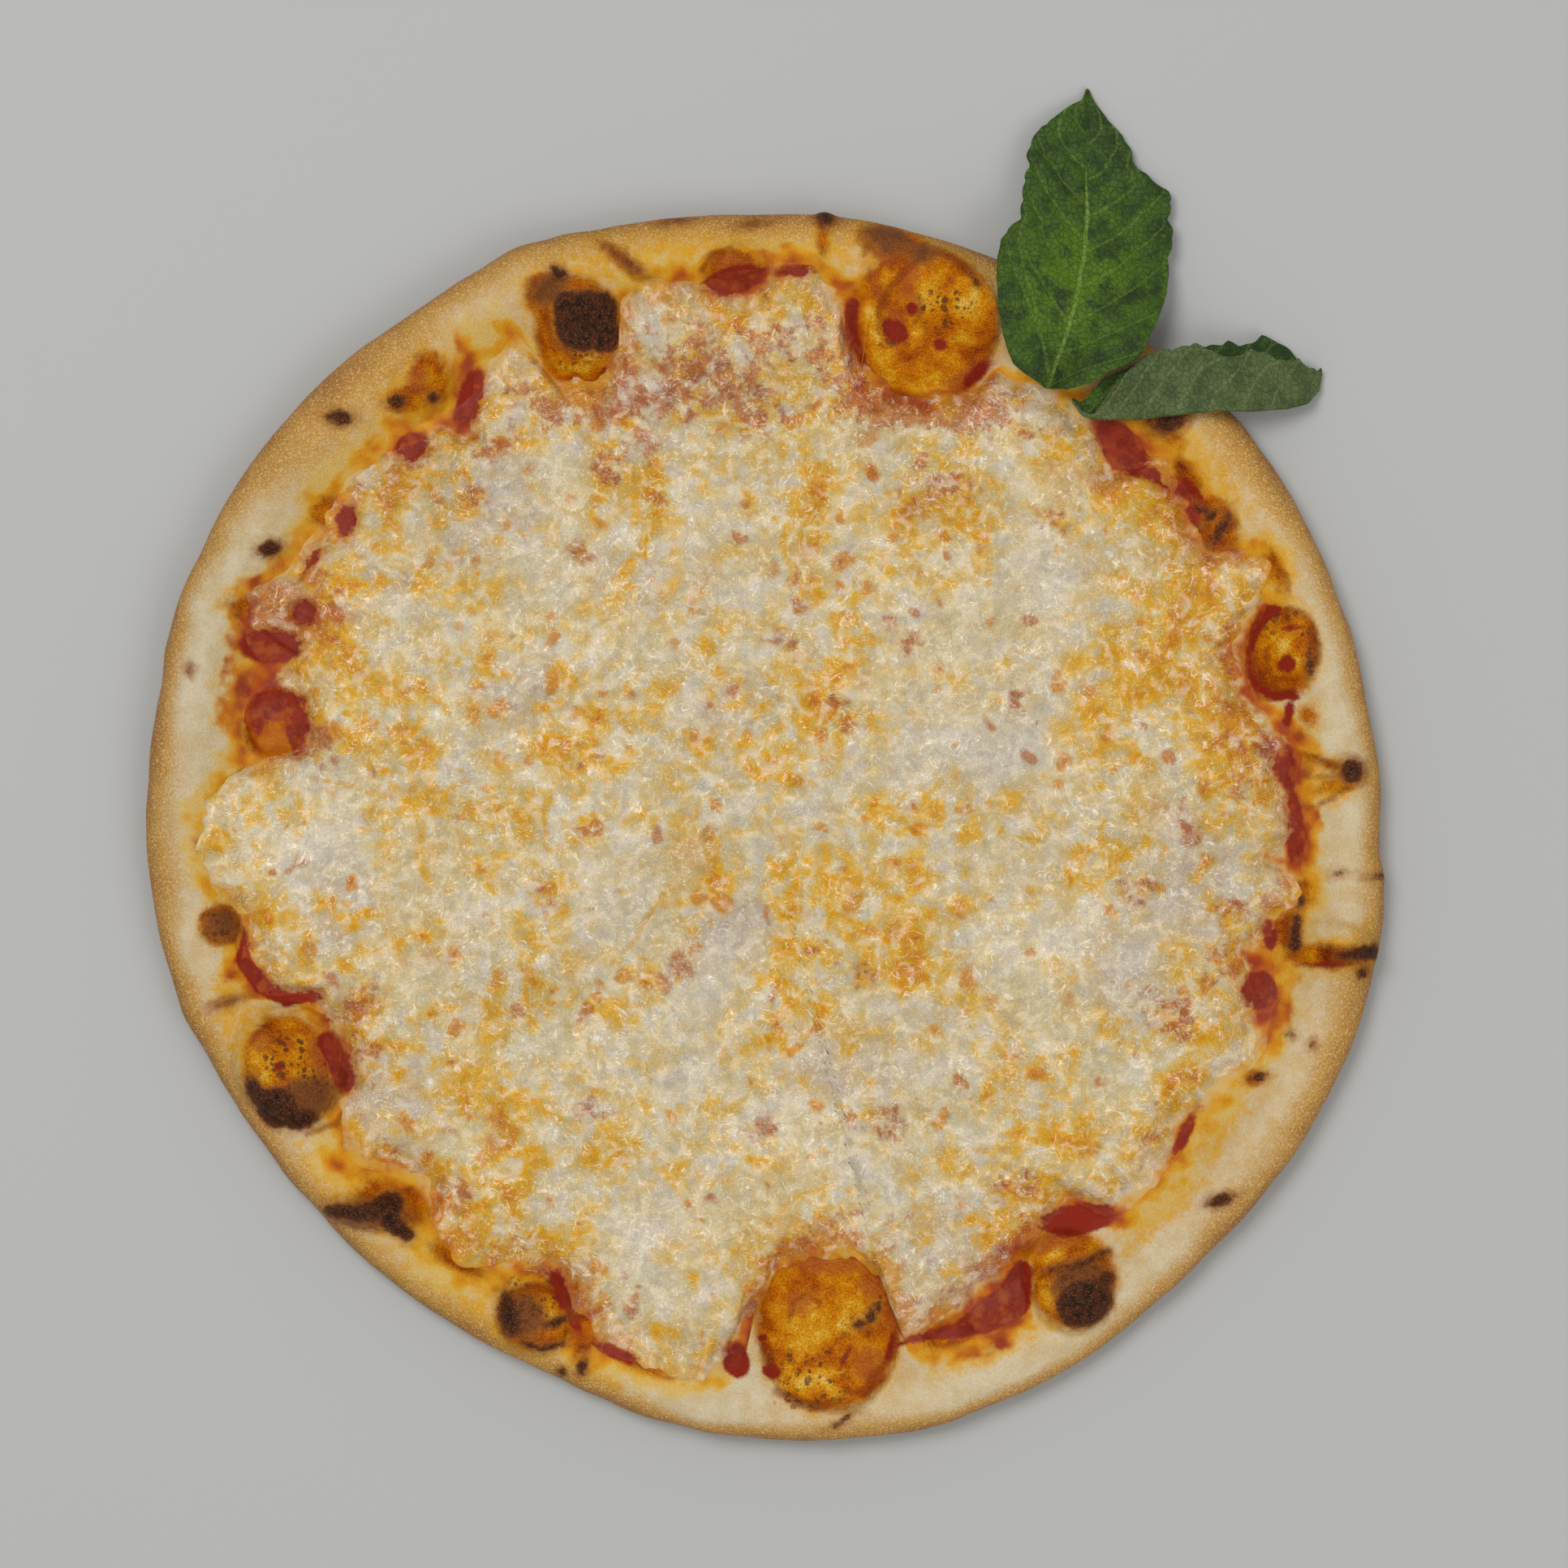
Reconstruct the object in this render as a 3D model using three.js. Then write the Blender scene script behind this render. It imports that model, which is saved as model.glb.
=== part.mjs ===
// A whole round cheese pizza as it lies on a table: a flat-bottomed dough disc with a raised rim and
// baked blisters, a skin of tomato sauce, a sheet of melted cheese, and two basil leaves that lie over
// the edge. Millimetres and degrees. X runs right, Y runs away, Z runs up, and the origin is the middle
// of the flat underside.
import * as THREE from "three";

// ---- driving dimensions ----
const FLOOR = 4.5; // top of the thin dough under the sauce
const RIM_HEIGHT = 12.2; // crest of the rim above the table
const RIM_SHOULDER = 9; // from the widest edge in to the crest
const RIM_FOOT = 26; // from the widest edge in to where the rim begins to rise
const EDGE_HEIGHT = 4.6; // height of the widest edge
const TUCK = 5; // the underside is this much smaller than the widest edge
const LAYER_GAP = 0.3; // clearance between layers
const SAUCE_THICK = 0.8;
const CHEESE_THICK = 2.5;
const CHEESE_LUMPS = 0.75; // half height of the melted lumps
const CHEESE_LIP = 0.7; // least width of sauce past the cheese
const LUMP_WAVES = [{ size: 13, share: 0.6, seed: 1 }, { size: 6.5, share: 0.55, seed: 2 }];
const CREST_WAVES = [{ turns: 3, height: 0.5, start: 1 }, { turns: 7, height: 0.4, start: 0 }, { turns: 11, height: 0.25, start: 2 }];
const LEAF_THICK = 0.5;

// How far the dough reaches from the middle: [angle, reach], read round the rim.
const EDGE_REACH = [
  [0, 151.6], [5, 152.1], [12, 151.5], [30, 153.2], [42, 153.8], [55, 152], [70, 151.5], [80, 152],
  [90, 151.5], [100, 152.6], [105, 153.5], [112, 156], [118, 155], [126, 154.3], [135, 155.6],
  [150, 155.9], [154, 155.4], [158, 155.9], [167, 153.6], [178, 153.3], [190, 152.2], [197, 151.2],
  [203, 149], [210, 147.4], [220, 145.8], [240, 145], [248, 145], [254, 146.8], [265, 150.4],
  [277, 152.3], [287, 153.7], [300, 153], [313, 151.5], [330, 153.8], [345, 154.3], [352, 154.2],
  [357, 152],
];
// How far the melted cheese reaches.
const CHEESE_REACH = [
  [0, 130.5], [6, 127], [10, 130], [14, 124.5], [19, 123.5], [23, 126], [26, 137], [29, 138],
  [33, 129], [38, 131], [43, 132], [46, 125], [50, 127], [58, 128.5], [62, 125], [65, 116],
  [72, 112], [79, 117], [82, 131], [86, 138], [89, 137], [93, 132], [98, 135], [103, 137],
  [107, 124], [111, 119], [115, 124], [118, 135], [122, 130], [126, 124.5], [129, 130], [132, 127],
  [137, 133], [143, 134], [150, 132], [157, 138.5], [161, 125], [166, 118], [170, 117], [174, 131],
  [179, 138.5], [185, 137.5], [191, 131], [196, 130.5], [200, 121], [206, 117], [212, 120],
  [216, 128.5], [222, 124], [226, 122], [231, 129], [236, 130.5], [240, 124], [245, 121.5],
  [249, 128], [254, 134.5], [263, 137], [266, 129], [269, 118], [274, 106.5], [281, 107.5],
  [286, 119], [288, 131], [292, 129], [298, 123], [304, 119.5], [309, 119], [313, 127], [318, 129],
  [324, 126.5], [330, 127.5], [335, 133], [340, 128], [345, 123], [349, 128], [353, 132], [356, 128],
];
// How far the sauce reaches where it shows past the cheese.
const SAUCE_REACH = [
  [0, 133], [8, 133.5], [12, 130], [22, 128], [30, 130], [43, 133.5], [48, 133.5], [52, 130],
  [66, 118], [78, 119], [83, 136], [86, 139.5], [95, 139.5], [99, 134], [106, 126], [111, 120],
  [118, 132], [122, 134.5], [127, 130], [133, 132.5], [137, 130], [147, 133], [154, 134],
  [160, 137], [163, 132.5], [168, 132], [172, 127], [190, 131.5], [195, 134.5], [199, 131],
  [202, 119], [211, 122], [215, 130.5], [224, 127], [238, 124], [248, 127], [251, 134.5],
  [256, 136], [261, 131], [265, 136.5], [268, 128], [272, 112], [283, 112], [287, 132],
  [292, 136.5], [298, 136], [301, 124], [309, 121], [311, 131], [316, 128], [323, 129.8],
  [329, 127], [340, 132.5], [344, 131], [347, 126], [355, 132],
];
// Dough bubbles that rose through the toppings: place, half length along turn, half width, height.
const BLISTERS = [
  { angle: 110.5, reach: 131.5, long: 13.5, wide: 11.5, turn: 110, height: 7.5 },
  { angle: 72.6, reach: 131, long: 19.5, wide: 18.5, turn: 100, height: 8 },
  { angle: 78.7, reach: 147, long: 6.5, wide: 4.5, turn: 160, height: 3 },
  { angle: 18.9, reach: 134.5, long: 11.5, wide: 9.3, turn: 85, height: 4.5 },
  { angle: 34.5, reach: 134, long: 9.5, wide: 6.5, turn: 120, height: 3 },
  { angle: 45.1, reach: 140.6, long: 6.5, wide: 4.5, turn: 25, height: 2.2 },
  { angle: 5.4, reach: 143.8, long: 6, wide: 4.5, turn: 5, height: 2.6 },
  { angle: 349, reach: 144, long: 10.5, wide: 4.5, turn: 349, height: 3.2 },
  { angle: 303.6, reach: 134.5, long: 13, wide: 11, turn: 290, height: 7.5 },
  { angle: 277, reach: 125, long: 20, wide: 18, turn: 280, height: 8.5 },
  { angle: 290, reach: 132.5, long: 6.5, wide: 4.5, turn: 20, height: 2.6 },
  { angle: 244.7, reach: 132.8, long: 10.5, wide: 9, turn: 250, height: 5.5 },
  { angle: 224.5, reach: 135.6, long: 12.5, wide: 4.5, turn: 350, height: 3.4 },
  { angle: 206.4, reach: 131, long: 15, wide: 14, turn: 290, height: 8.5 },
  { angle: 190.3, reach: 137, long: 5.5, wide: 4.5, turn: 200, height: 3 },
  { angle: 167.8, reach: 124, long: 8.5, wide: 7.5, turn: 80, height: 3.6 },
  { angle: 128, reach: 138, long: 9.5, wide: 7.5, turn: 50, height: 3.6 },
  { angle: 93.2, reach: 139.5, long: 8.5, wide: 5, turn: 10, height: 3 },
];
const BLISTER_ROUNDNESS = 0.62; // under 1 makes the sides steep and the top broad

// The leaf that lies top side up, and the leaf that is folded along its midrib. Along a leaf's length, as
// a share of it, bow is how far the midrib strays to the left of the straight line from base to tip, and
// left, right, under and over are half widths. drape holds [distance from the pizza's middle, height].
const OPEN_LEAF = {
  base: [69.3, 108.3],
  tip: [79.6, 183],
  bow: [[0, 0], [0.2, -3], [0.3, -3.9], [0.45, -4.5], [0.6, -3.9], [0.7, -2.5], [0.85, -1.6], [1, 0]],
  left: [
    [0, 0.8], [0.04, 7.2], [0.11, 13.1], [0.24, 18.4], [0.33, 20.5], [0.43, 21.2], [0.49, 19.2],
    [0.54, 16.4], [0.68, 15.2], [0.79, 14.1], [0.86, 10.5], [0.94, 4.1], [1, 0.4],
  ],
  right: [
    [0, 3], [0.03, 9.5], [0.08, 13.8], [0.135, 19], [0.2, 19.9], [0.31, 21.5], [0.43, 21.6],
    [0.54, 21.2], [0.68, 20.8], [0.72, 16.8], [0.76, 12.6], [0.82, 10.6], [0.885, 6.5], [0.95, 2.5],
    [1, 0.4],
  ],
  drape: [
    [120, 9.6], [128, 9.9], [136, 12.4], [142, 14], [147, 14.2], [151, 13.6], [158, 11.2], [168, 7.6],
    [180, 4.4], [200, 1],
  ],
  groove: 0.9, // depth of the trough along the midrib
  grooveSharpness: 3,
  tipTaper: 4, // groove and waves fade out over the last 1 / tipTaper of the length
  wave: { height: 0.6, size: 9, seed: 5 },
  lift: 4.4, // the right-hand margin by the base rises over the folded leaf
  liftSlope: 1.6, // full lift is reached at 1 / liftSlope of the half width
  liftEnd: 0.5,
  rows: 20,
  columns: 8,
};
const FOLDED_LEAF = {
  base: [75.6, 105.2],
  tip: [137.5, 112.7],
  bow: [
    [0, 0], [0.07, -4.6], [0.24, -5.7], [0.56, -5.9], [0.7, -7], [0.84, -7.2], [0.93, -6.4],
    [0.98, -4], [1, 0],
  ],
  under: [
    [0, 0.8], [0.06, 5], [0.12, 9], [0.3, 13.6], [0.5, 15], [0.64, 16.4], [0.7, 15.4], [0.78, 17.4],
    [0.85, 14.6], [0.91, 12], [1, 0.4],
  ],
  over: [
    [0, 0.6], [0.08, 1.2], [0.16, 7], [0.28, 13.5], [0.37, 14.9], [0.5, 15.6], [0.6, 12.5],
    [0.66, 12.4], [0.72, 14], [0.82, 11.4], [0.92, 9.8], [1, 0.5],
  ],
  drape: [
    [118, 8.6], [128, 8.9], [134, 10.8], [140, 13.7], [144, 14.2], [149, 13.9], [154, 12.6],
    [160, 9.8], [168, 5.2], [176, 1.1], [180, 0.9],
  ],
  foldRadius: 0.9,
  foldStart: 0.4, // share of foldRadius at the two ends
  foldGrowth: 0.3, // the fold is tighter up to this share of the length
  foldTaper: 12, // and again over the last 1 / foldTaper
  spread: 1.4, // how far the upper layer has opened at its margin
  wave: { height: 0.35, size: 7, seed: 8 },
  rows: 18,
  columns: 12,
  foldColumns: 4,
};

// ---- mesh density ----
const RAYS = 120; // directions from the middle, closer together at the blisters
const BLISTER_CROWDING = 1.7;
const RAY_STEPS = 3600; // steps in which the directions are placed
const TUCK_TURNS = [0, 45, 90];
const SHOULDER_RINGS = 3;
const RIM_RINGS = 9;
const SLOPE_STOPS = [0, 0.5, 1, 1.5, 2]; // rings under the sauce, as slopeReach counts them
const CHEESE_CELL = 5.3;
const CHEESE_STOPS = [{ stop: 0, share: 1 }, { stop: 0.5, share: 0.85 }, { stop: 1, share: 0.4 }]; // thinner at the edge
const FLAT_MARGIN = 3; // the search for the flat floor begins this far inside the cheese's edge
const FLAT_STEP = 0.5;

const TURN = Math.PI * 2;
const rad = THREE.MathUtils.degToRad;
const lerp = THREE.MathUtils.lerp;
const clamp = THREE.MathUtils.clamp;
const ease = (t) => t * t * (3 - 2 * t);

// A value that eases from knot to knot round the full circle.
function around(knots, angle) {
  const deg = (((angle * 360) / TURN) % 360 + 360) % 360;
  let k = knots.findLastIndex(([at]) => at <= deg);
  if (k < 0) k = knots.length - 1;
  const [a, from] = knots[k];
  const [b, to] = knots[(k + 1) % knots.length];
  const span = (b - a + 360) % 360;
  return lerp(from, to, ease(((deg - a + 360) % 360) / span));
}

// A value that runs straight from knot to knot along a line.
function along(knots, x) {
  const k = clamp(knots.findLastIndex(([at]) => at <= x), 0, knots.length - 2);
  const [a, from] = knots[k];
  const [b, to] = knots[k + 1];
  return lerp(from, to, clamp((x - a) / (b - a), 0, 1));
}

// Smooth noise from -1 to 1 on a square lattice, the same on every run.
function noise(x, y, seed) {
  const hash = (i, j) => {
    const h = Math.sin(i * 127.1 + j * 311.7 + seed * 74.7) * 43758.5453;
    return 2 * (h - Math.floor(h)) - 1;
  };
  const i = Math.floor(x);
  const j = Math.floor(y);
  const u = ease(x - i);
  const v = ease(y - j);
  return lerp(lerp(hash(i, j), hash(i + 1, j), u), lerp(hash(i, j + 1), hash(i + 1, j + 1), u), v);
}

// ---- the surfaces that the layers share ----
const edgeReach = (angle) => around(EDGE_REACH, angle);
const cheeseReach = (angle) => around(CHEESE_REACH, angle);
const sauceReach = (angle) => Math.max(around(SAUCE_REACH, angle), cheeseReach(angle) + CHEESE_LIP);
const crestHeight = (angle) =>
  CREST_WAVES.reduce((sum, w) => sum + w.height * Math.sin(w.turns * angle + w.start), RIM_HEIGHT);
const waveHeight = (wave, x, y) => wave.height * noise(x / wave.size, y / wave.size, wave.seed);

function blisterHeight(x, y) {
  let top = 0;
  for (const b of BLISTERS) {
    const dx = x - b.reach * Math.cos(rad(b.angle));
    const dy = y - b.reach * Math.sin(rad(b.angle));
    const c = Math.cos(rad(b.turn));
    const s = Math.sin(rad(b.turn));
    const d = Math.hypot((dx * c + dy * s) / b.long, (dy * c - dx * s) / b.wide);
    if (d < 1) top = Math.max(top, b.height * (1 - d * d) ** BLISTER_ROUNDNESS);
  }
  return top;
}

const blisterAt = (angle, reach) => blisterHeight(reach * Math.cos(angle), reach * Math.sin(angle));

// Height of the dough's upper face inside the shoulder.
function doughHeight(angle, reach) {
  const inward = edgeReach(angle) - reach;
  const rise = clamp((RIM_FOOT - inward) / (RIM_FOOT - RIM_SHOULDER), 0, 1);
  return lerp(FLOOR, crestHeight(angle), ease(rise)) + blisterAt(angle, reach);
}

// Height of the melted lumps over the cheese's mean level.
function lumpHeight(angle, reach) {
  const x = reach * Math.cos(angle);
  const y = reach * Math.sin(angle);
  return LUMP_WAVES.reduce((sum, w) => sum + CHEESE_LUMPS * w.share * noise(x / w.size, y / w.size, w.seed), 0);
}

// The dough is flat out to here: inside it the layers need no matching rings.
function flatReach(angle) {
  let reach = cheeseReach(angle) - FLAT_MARGIN;
  while (doughHeight(angle, reach) > FLOOR) reach -= FLAT_STEP;
  return reach;
}

// Directions crowd where a blister stands.
function rayAngles() {
  const density = (deg) => {
    const near = BLISTERS.map((b) => {
      const off = Math.abs(((deg - b.angle + 540) % 360) - 180);
      return off < (b.long * 360) / (TURN * b.reach) ? 1 : 0;
    });
    return 1 + BLISTER_CROWDING * Math.max(...near);
  };
  const total = [0];
  for (let i = 0; i < RAY_STEPS; i++) total.push(total[i] + density((i * 360) / RAY_STEPS));
  const angles = [];
  for (let k = 0, i = 0; k < RAYS; k++) {
    const want = (total[RAY_STEPS] * k) / RAYS;
    while (total[i + 1] <= want) i++;
    angles.push((TURN * i) / RAY_STEPS);
  }
  return angles;
}
const rays = rayAngles();
const flat = rays.map(flatReach);

// ---- solids as stacks of rings ----
// A ring is a list of points in order of their angle. place(angle, k) gives [reach, height].
function ring(angles, place) {
  return angles.map((angle, k) => {
    const [reach, height] = place(angle, k);
    return { angle, at: new THREE.Vector3(reach * Math.cos(angle), reach * Math.sin(angle), height) };
  });
}

const pole = (height) => [{ angle: 0, at: new THREE.Vector3(0, 0, height) }];

// Joins ring to ring from the pole at the underside, out round the edge and back to the pole on top.
// Where two points have the same angle the outer ring steps first, so layers that face each other are
// split into triangles alike.
function ringSolid(rings) {
  const points = rings.flat().map((p) => p.at);
  const faces = [];
  let start = 0;
  for (let r = 0; r + 1 < rings.length; r++) {
    const a = rings[r];
    const b = rings[r + 1];
    const next = start + a.length;
    const ahead = (list, k) => (k + 1 < list.length ? list[k + 1].angle : TURN + list[0].angle);
    const tie = a[0].at.x > b[0].at.x ? 1e-9 : -1e-9;
    for (let i = 0, j = 0; i < a.length || j < b.length; ) {
      const canA = i < a.length && a.length > 1;
      const canB = j < b.length && b.length > 1;
      const ia = start + (i % a.length);
      const jb = next + (j % b.length);
      if (canA && (!canB || ahead(a, i) < ahead(b, j) + tie)) {
        faces.push(ia, start + ((i + 1) % a.length), jb);
        i++;
      } else if (canB) {
        faces.push(ia, next + ((j + 1) % b.length), jb);
        j++;
      } else break;
    }
    start = next;
  }
  return new THREE.BufferGeometry().setFromPoints(points).setIndex(faces);
}

// Rings over the rim's inner slope, which every layer shares: t runs from 0 at the flat floor to 1 at
// the cheese's edge, to 2 at the sauce's edge, and to 3 at the rim's shoulder.
function slopeReach(angle, k, t) {
  const stops = [flat[k], cheeseReach(angle), sauceReach(angle), edgeReach(angle) - RIM_SHOULDER];
  const i = Math.min(Math.floor(t), 2);
  return lerp(stops[i], stops[i + 1], t - i);
}

const slopeRing = (t, lift, lumpiness = 0) =>
  ring(rays, (angle, k) => {
    const reach = slopeReach(angle, k, t);
    return [reach, doughHeight(angle, reach) + lift + lumpiness * lumpHeight(angle, reach)];
  });

// The dough: flat underside, rounded edge, shoulder, rim and blisters, and the thin floor.
function doughGeometry() {
  const rings = [pole(0)];
  for (const turn of TUCK_TURNS) {
    rings.push(ring(rays, (angle) => [
      edgeReach(angle) - TUCK * (1 - Math.sin(rad(turn))),
      EDGE_HEIGHT * (1 - Math.cos(rad(turn))),
    ]));
  }
  for (let n = SHOULDER_RINGS; n > 0; n--) {
    const turn = rad((90 * n) / (SHOULDER_RINGS + 1));
    rings.push(ring(rays, (angle) => {
      const reach = edgeReach(angle) - RIM_SHOULDER * (1 - Math.sin(turn));
      return [reach, lerp(EDGE_HEIGHT, crestHeight(angle), Math.cos(turn)) + blisterAt(angle, reach)];
    }));
  }
  for (let n = RIM_RINGS; n > 0; n--) rings.push(slopeRing(2 + n / RIM_RINGS, 0));
  for (const stop of SLOPE_STOPS.toReversed()) rings.push(slopeRing(stop, 0));
  rings.push(pole(FLOOR));
  return ringSolid(rings);
}

// The sauce: a skin that follows the dough.
function sauceGeometry() {
  const top = LAYER_GAP + SAUCE_THICK;
  return ringSolid([
    pole(FLOOR + LAYER_GAP),
    ...SLOPE_STOPS.map((stop) => slopeRing(stop, LAYER_GAP)),
    ...SLOPE_STOPS.toReversed().map((stop) => slopeRing(stop, top)),
    pole(FLOOR + top),
  ]);
}

// The cheese: its underside follows the sauce, and its top has the lumps of melted shreds. Inside the
// slope its top is a field of rings with about CHEESE_CELL between points, which turn from the outline's
// shape to a circle towards the middle.
function cheeseGeometry() {
  const foot = LAYER_GAP + SAUCE_THICK + LAYER_GAP;
  const under = CHEESE_STOPS.map(({ stop }) => slopeRing(stop, foot));
  const over = CHEESE_STOPS.map(({ stop, share }) => slopeRing(stop, foot + share * CHEESE_THICK, share));
  const field = [];
  const reachOfField = flat.reduce((sum, reach) => sum + reach, 0) / RAYS;
  const rows = Math.round(reachOfField / CHEESE_CELL);
  for (let row = rows - 1; row > 0; row--) {
    const share = row / rows;
    const count = Math.min(Math.round((TURN * share * reachOfField) / CHEESE_CELL), RAYS);
    const offset = (row % 2) / 2;
    const even = Array.from({ length: count }, (_, i) => (TURN * (i + offset)) / count);
    field.push(ring(count === RAYS ? rays : even, (angle) => {
      const reach = share * lerp(reachOfField, flatReach(angle), share);
      return [reach, FLOOR + foot + CHEESE_THICK + lumpHeight(angle, reach)];
    }));
  }
  return ringSolid([
    pole(FLOOR + foot),
    ...under,
    ...over.toReversed(),
    ...field,
    pole(FLOOR + foot + CHEESE_THICK),
  ]);
}

// ---- leaves ----
// A sheet of rows x columns points with both faces split alike. middle(i, j) gives the mid surface, with
// j running to the right of i, and up(i, j) the direction that the upper face looks in.
function sheetGeometry(rows, columns, middle, up) {
  const points = [];
  const faces = [];
  for (const side of [0.5, -0.5]) {
    for (let i = 0; i <= rows; i++) {
      for (let j = 0; j <= columns; j++) {
        points.push(middle(i, j).addScaledVector(up(i, j), side * LEAF_THICK));
      }
    }
  }
  const top = (i, j) => i * (columns + 1) + j;
  const bottom = (i, j) => top(i, j) + (rows + 1) * (columns + 1);
  for (let i = 0; i < rows; i++) {
    for (let j = 0; j < columns; j++) {
      faces.push(top(i, j), top(i, j + 1), top(i + 1, j), top(i, j + 1), top(i + 1, j + 1), top(i + 1, j));
      faces.push(bottom(i, j), bottom(i + 1, j), bottom(i, j + 1));
      faces.push(bottom(i, j + 1), bottom(i + 1, j), bottom(i + 1, j + 1));
    }
  }
  const wall = (a, b) => {
    faces.push(top(...a), bottom(...a), top(...b));
    faces.push(top(...b), bottom(...a), bottom(...b));
  };
  for (let i = 0; i < rows; i++) {
    wall([i + 1, 0], [i, 0]);
    wall([i, columns], [i + 1, columns]);
  }
  for (let j = 0; j < columns; j++) {
    wall([0, j], [0, j + 1]);
    wall([rows, j + 1], [rows, j]);
  }
  return new THREE.BufferGeometry().setFromPoints(points).setIndex(faces);
}

// The point a share s along a leaf's midrib, and the leaf's own left-hand direction.
function midrib(leaf, s) {
  const base = new THREE.Vector2(...leaf.base);
  const run = new THREE.Vector2(...leaf.tip).sub(base);
  const left = new THREE.Vector2(-run.y, run.x).normalize();
  return { at: base.addScaledVector(run, s).addScaledVector(left, along(leaf.bow, s)), left };
}

const UP = new THREE.Vector3(0, 0, 1);

function openLeafGeometry() {
  const leaf = OPEN_LEAF;
  return sheetGeometry(leaf.rows, leaf.columns, (i, j) => {
    const s = i / leaf.rows;
    const t = 1 - (2 * j) / leaf.columns; // 1 at the left margin, -1 at the right
    const { at, left } = midrib(leaf, s);
    const half = along(t > 0 ? leaf.left : leaf.right, s);
    const p = at.addScaledVector(left, t * half);
    const taper = clamp(leaf.tipTaper * (1 - s), 0, 1);
    const groove = leaf.groove * (1 - Math.abs(t)) ** leaf.grooveSharpness;
    const wave = waveHeight(leaf.wave, p.x, p.y) * Math.abs(t);
    const lift = leaf.lift * ease(clamp(-leaf.liftSlope * t, 0, 1)) * ease(clamp(1 - s / leaf.liftEnd, 0, 1));
    return new THREE.Vector3(p.x, p.y, along(leaf.drape, p.length()) + (wave - groove) * taper + lift);
  }, () => UP);
}

// The folded leaf's section: the lower half lies flat, turns back at the midrib, and the upper half
// lies over it with its underside up.
function foldedLeafGeometry() {
  const leaf = FOLDED_LEAF;
  const { rows, columns, foldColumns } = leaf;
  const flatColumns = (columns - foldColumns) / 2;
  const open = (s) => ease(clamp(s / leaf.foldGrowth, 0, 1));
  const radius = (s) =>
    leaf.foldRadius * lerp(leaf.foldStart, 1, open(s)) * clamp(leaf.foldTaper * (1 - s), leaf.foldStart, 1);
  const section = (s, j) => {
    const r = radius(s);
    if (j <= flatColumns) {
      const out = ((flatColumns - j) / flatColumns) * along(leaf.under, s);
      return { out, height: 0, up: [0, 1] };
    }
    if (j >= columns - flatColumns) {
      const share = (j - columns + flatColumns) / flatColumns;
      const height = 2 * r + leaf.spread * open(s) * share ** 2;
      return { out: share * along(leaf.over, s), height, up: [0, -1] };
    }
    const turn = (Math.PI * (j - flatColumns)) / foldColumns;
    return { out: -r * Math.sin(turn), height: r * (1 - Math.cos(turn)), up: [Math.sin(turn), Math.cos(turn)] };
  };
  return sheetGeometry(rows, columns, (i, j) => {
    const { at, left } = midrib(leaf, i / rows);
    const { out, height } = section(i / rows, j);
    const p = at.addScaledVector(left, out);
    return new THREE.Vector3(p.x, p.y, along(leaf.drape, p.length()) + height + waveHeight(leaf.wave, p.x, p.y));
  }, (i, j) => {
    const { left } = midrib(leaf, i / rows);
    const { up } = section(i / rows, j);
    return new THREE.Vector3(left.x * up[0], left.y * up[0], up[1]);
  });
}

// ---- the object ----
const pizza = new THREE.Group();
pizza.name = "cheese_pizza";

function addPiece(name, geometry, color, roughness) {
  geometry.computeVertexNormals();
  const mesh = new THREE.Mesh(geometry, new THREE.MeshStandardMaterial({ color, roughness, metalness: 0 }));
  mesh.name = name;
  pizza.add(mesh);
}

addPiece("dough_crust", doughGeometry(), 0xdcb87c, 0.75);
addPiece("tomato_sauce", sauceGeometry(), 0x9c3024, 0.35);
addPiece("melted_cheese", cheeseGeometry(), 0xdccda4, 0.45);
addPiece("basil_leaf_open", openLeafGeometry(), 0x3c6a2e, 0.5);
addPiece("basil_leaf_folded", foldedLeafGeometry(), 0x6f8a5a, 0.6);

export default pizza;
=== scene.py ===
# A whole cheese pizza with basil lying over its rim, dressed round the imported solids.
# Sizes are millimetres from the middle of the underside, and turns are degrees from +X.

import math

import bpy
import numpy as np
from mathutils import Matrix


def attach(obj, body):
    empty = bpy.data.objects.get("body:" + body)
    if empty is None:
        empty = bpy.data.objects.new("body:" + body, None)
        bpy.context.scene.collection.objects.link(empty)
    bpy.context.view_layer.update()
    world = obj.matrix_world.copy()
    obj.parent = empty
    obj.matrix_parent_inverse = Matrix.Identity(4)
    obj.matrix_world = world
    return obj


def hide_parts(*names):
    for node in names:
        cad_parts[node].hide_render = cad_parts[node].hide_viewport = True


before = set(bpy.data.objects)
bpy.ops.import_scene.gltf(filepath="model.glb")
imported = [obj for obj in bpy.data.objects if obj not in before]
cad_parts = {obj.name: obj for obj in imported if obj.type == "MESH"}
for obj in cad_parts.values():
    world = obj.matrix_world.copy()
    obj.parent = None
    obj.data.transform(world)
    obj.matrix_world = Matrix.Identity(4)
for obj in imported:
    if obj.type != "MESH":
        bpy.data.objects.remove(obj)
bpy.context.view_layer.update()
print("frame loaded")

mm = 0.001  # one millimetre in Blender's metres
turnOnce = 2 * math.pi
farAway = 50.0  # a distance that no mask reaches


# numbers over arrays

def smooth(t):
    t = np.clip(t, 0, 1)
    return t * t * (3 - 2 * t)


def blend(a, b, t):
    return a + (b - a) * t


def rise(value, start, end):
    # eases from 0 at start to 1 at end
    return smooth((value - start) / (end - start))


def around(knots, angle):
    # eases from knot to knot round the full circle
    at = np.array([k[0] for k in knots] + [knots[0][0] + 360], float)
    value = np.array([k[1] for k in knots] + [knots[0][1]], float)
    deg = np.degrees(angle) % 360
    deg = np.where(deg < at[0], deg + 360, deg)
    k = np.clip(np.searchsorted(at, deg, side="right") - 1, 0, len(at) - 2)
    return blend(value[k], value[k + 1], smooth((deg - at[k]) / (at[k + 1] - at[k])))


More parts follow.
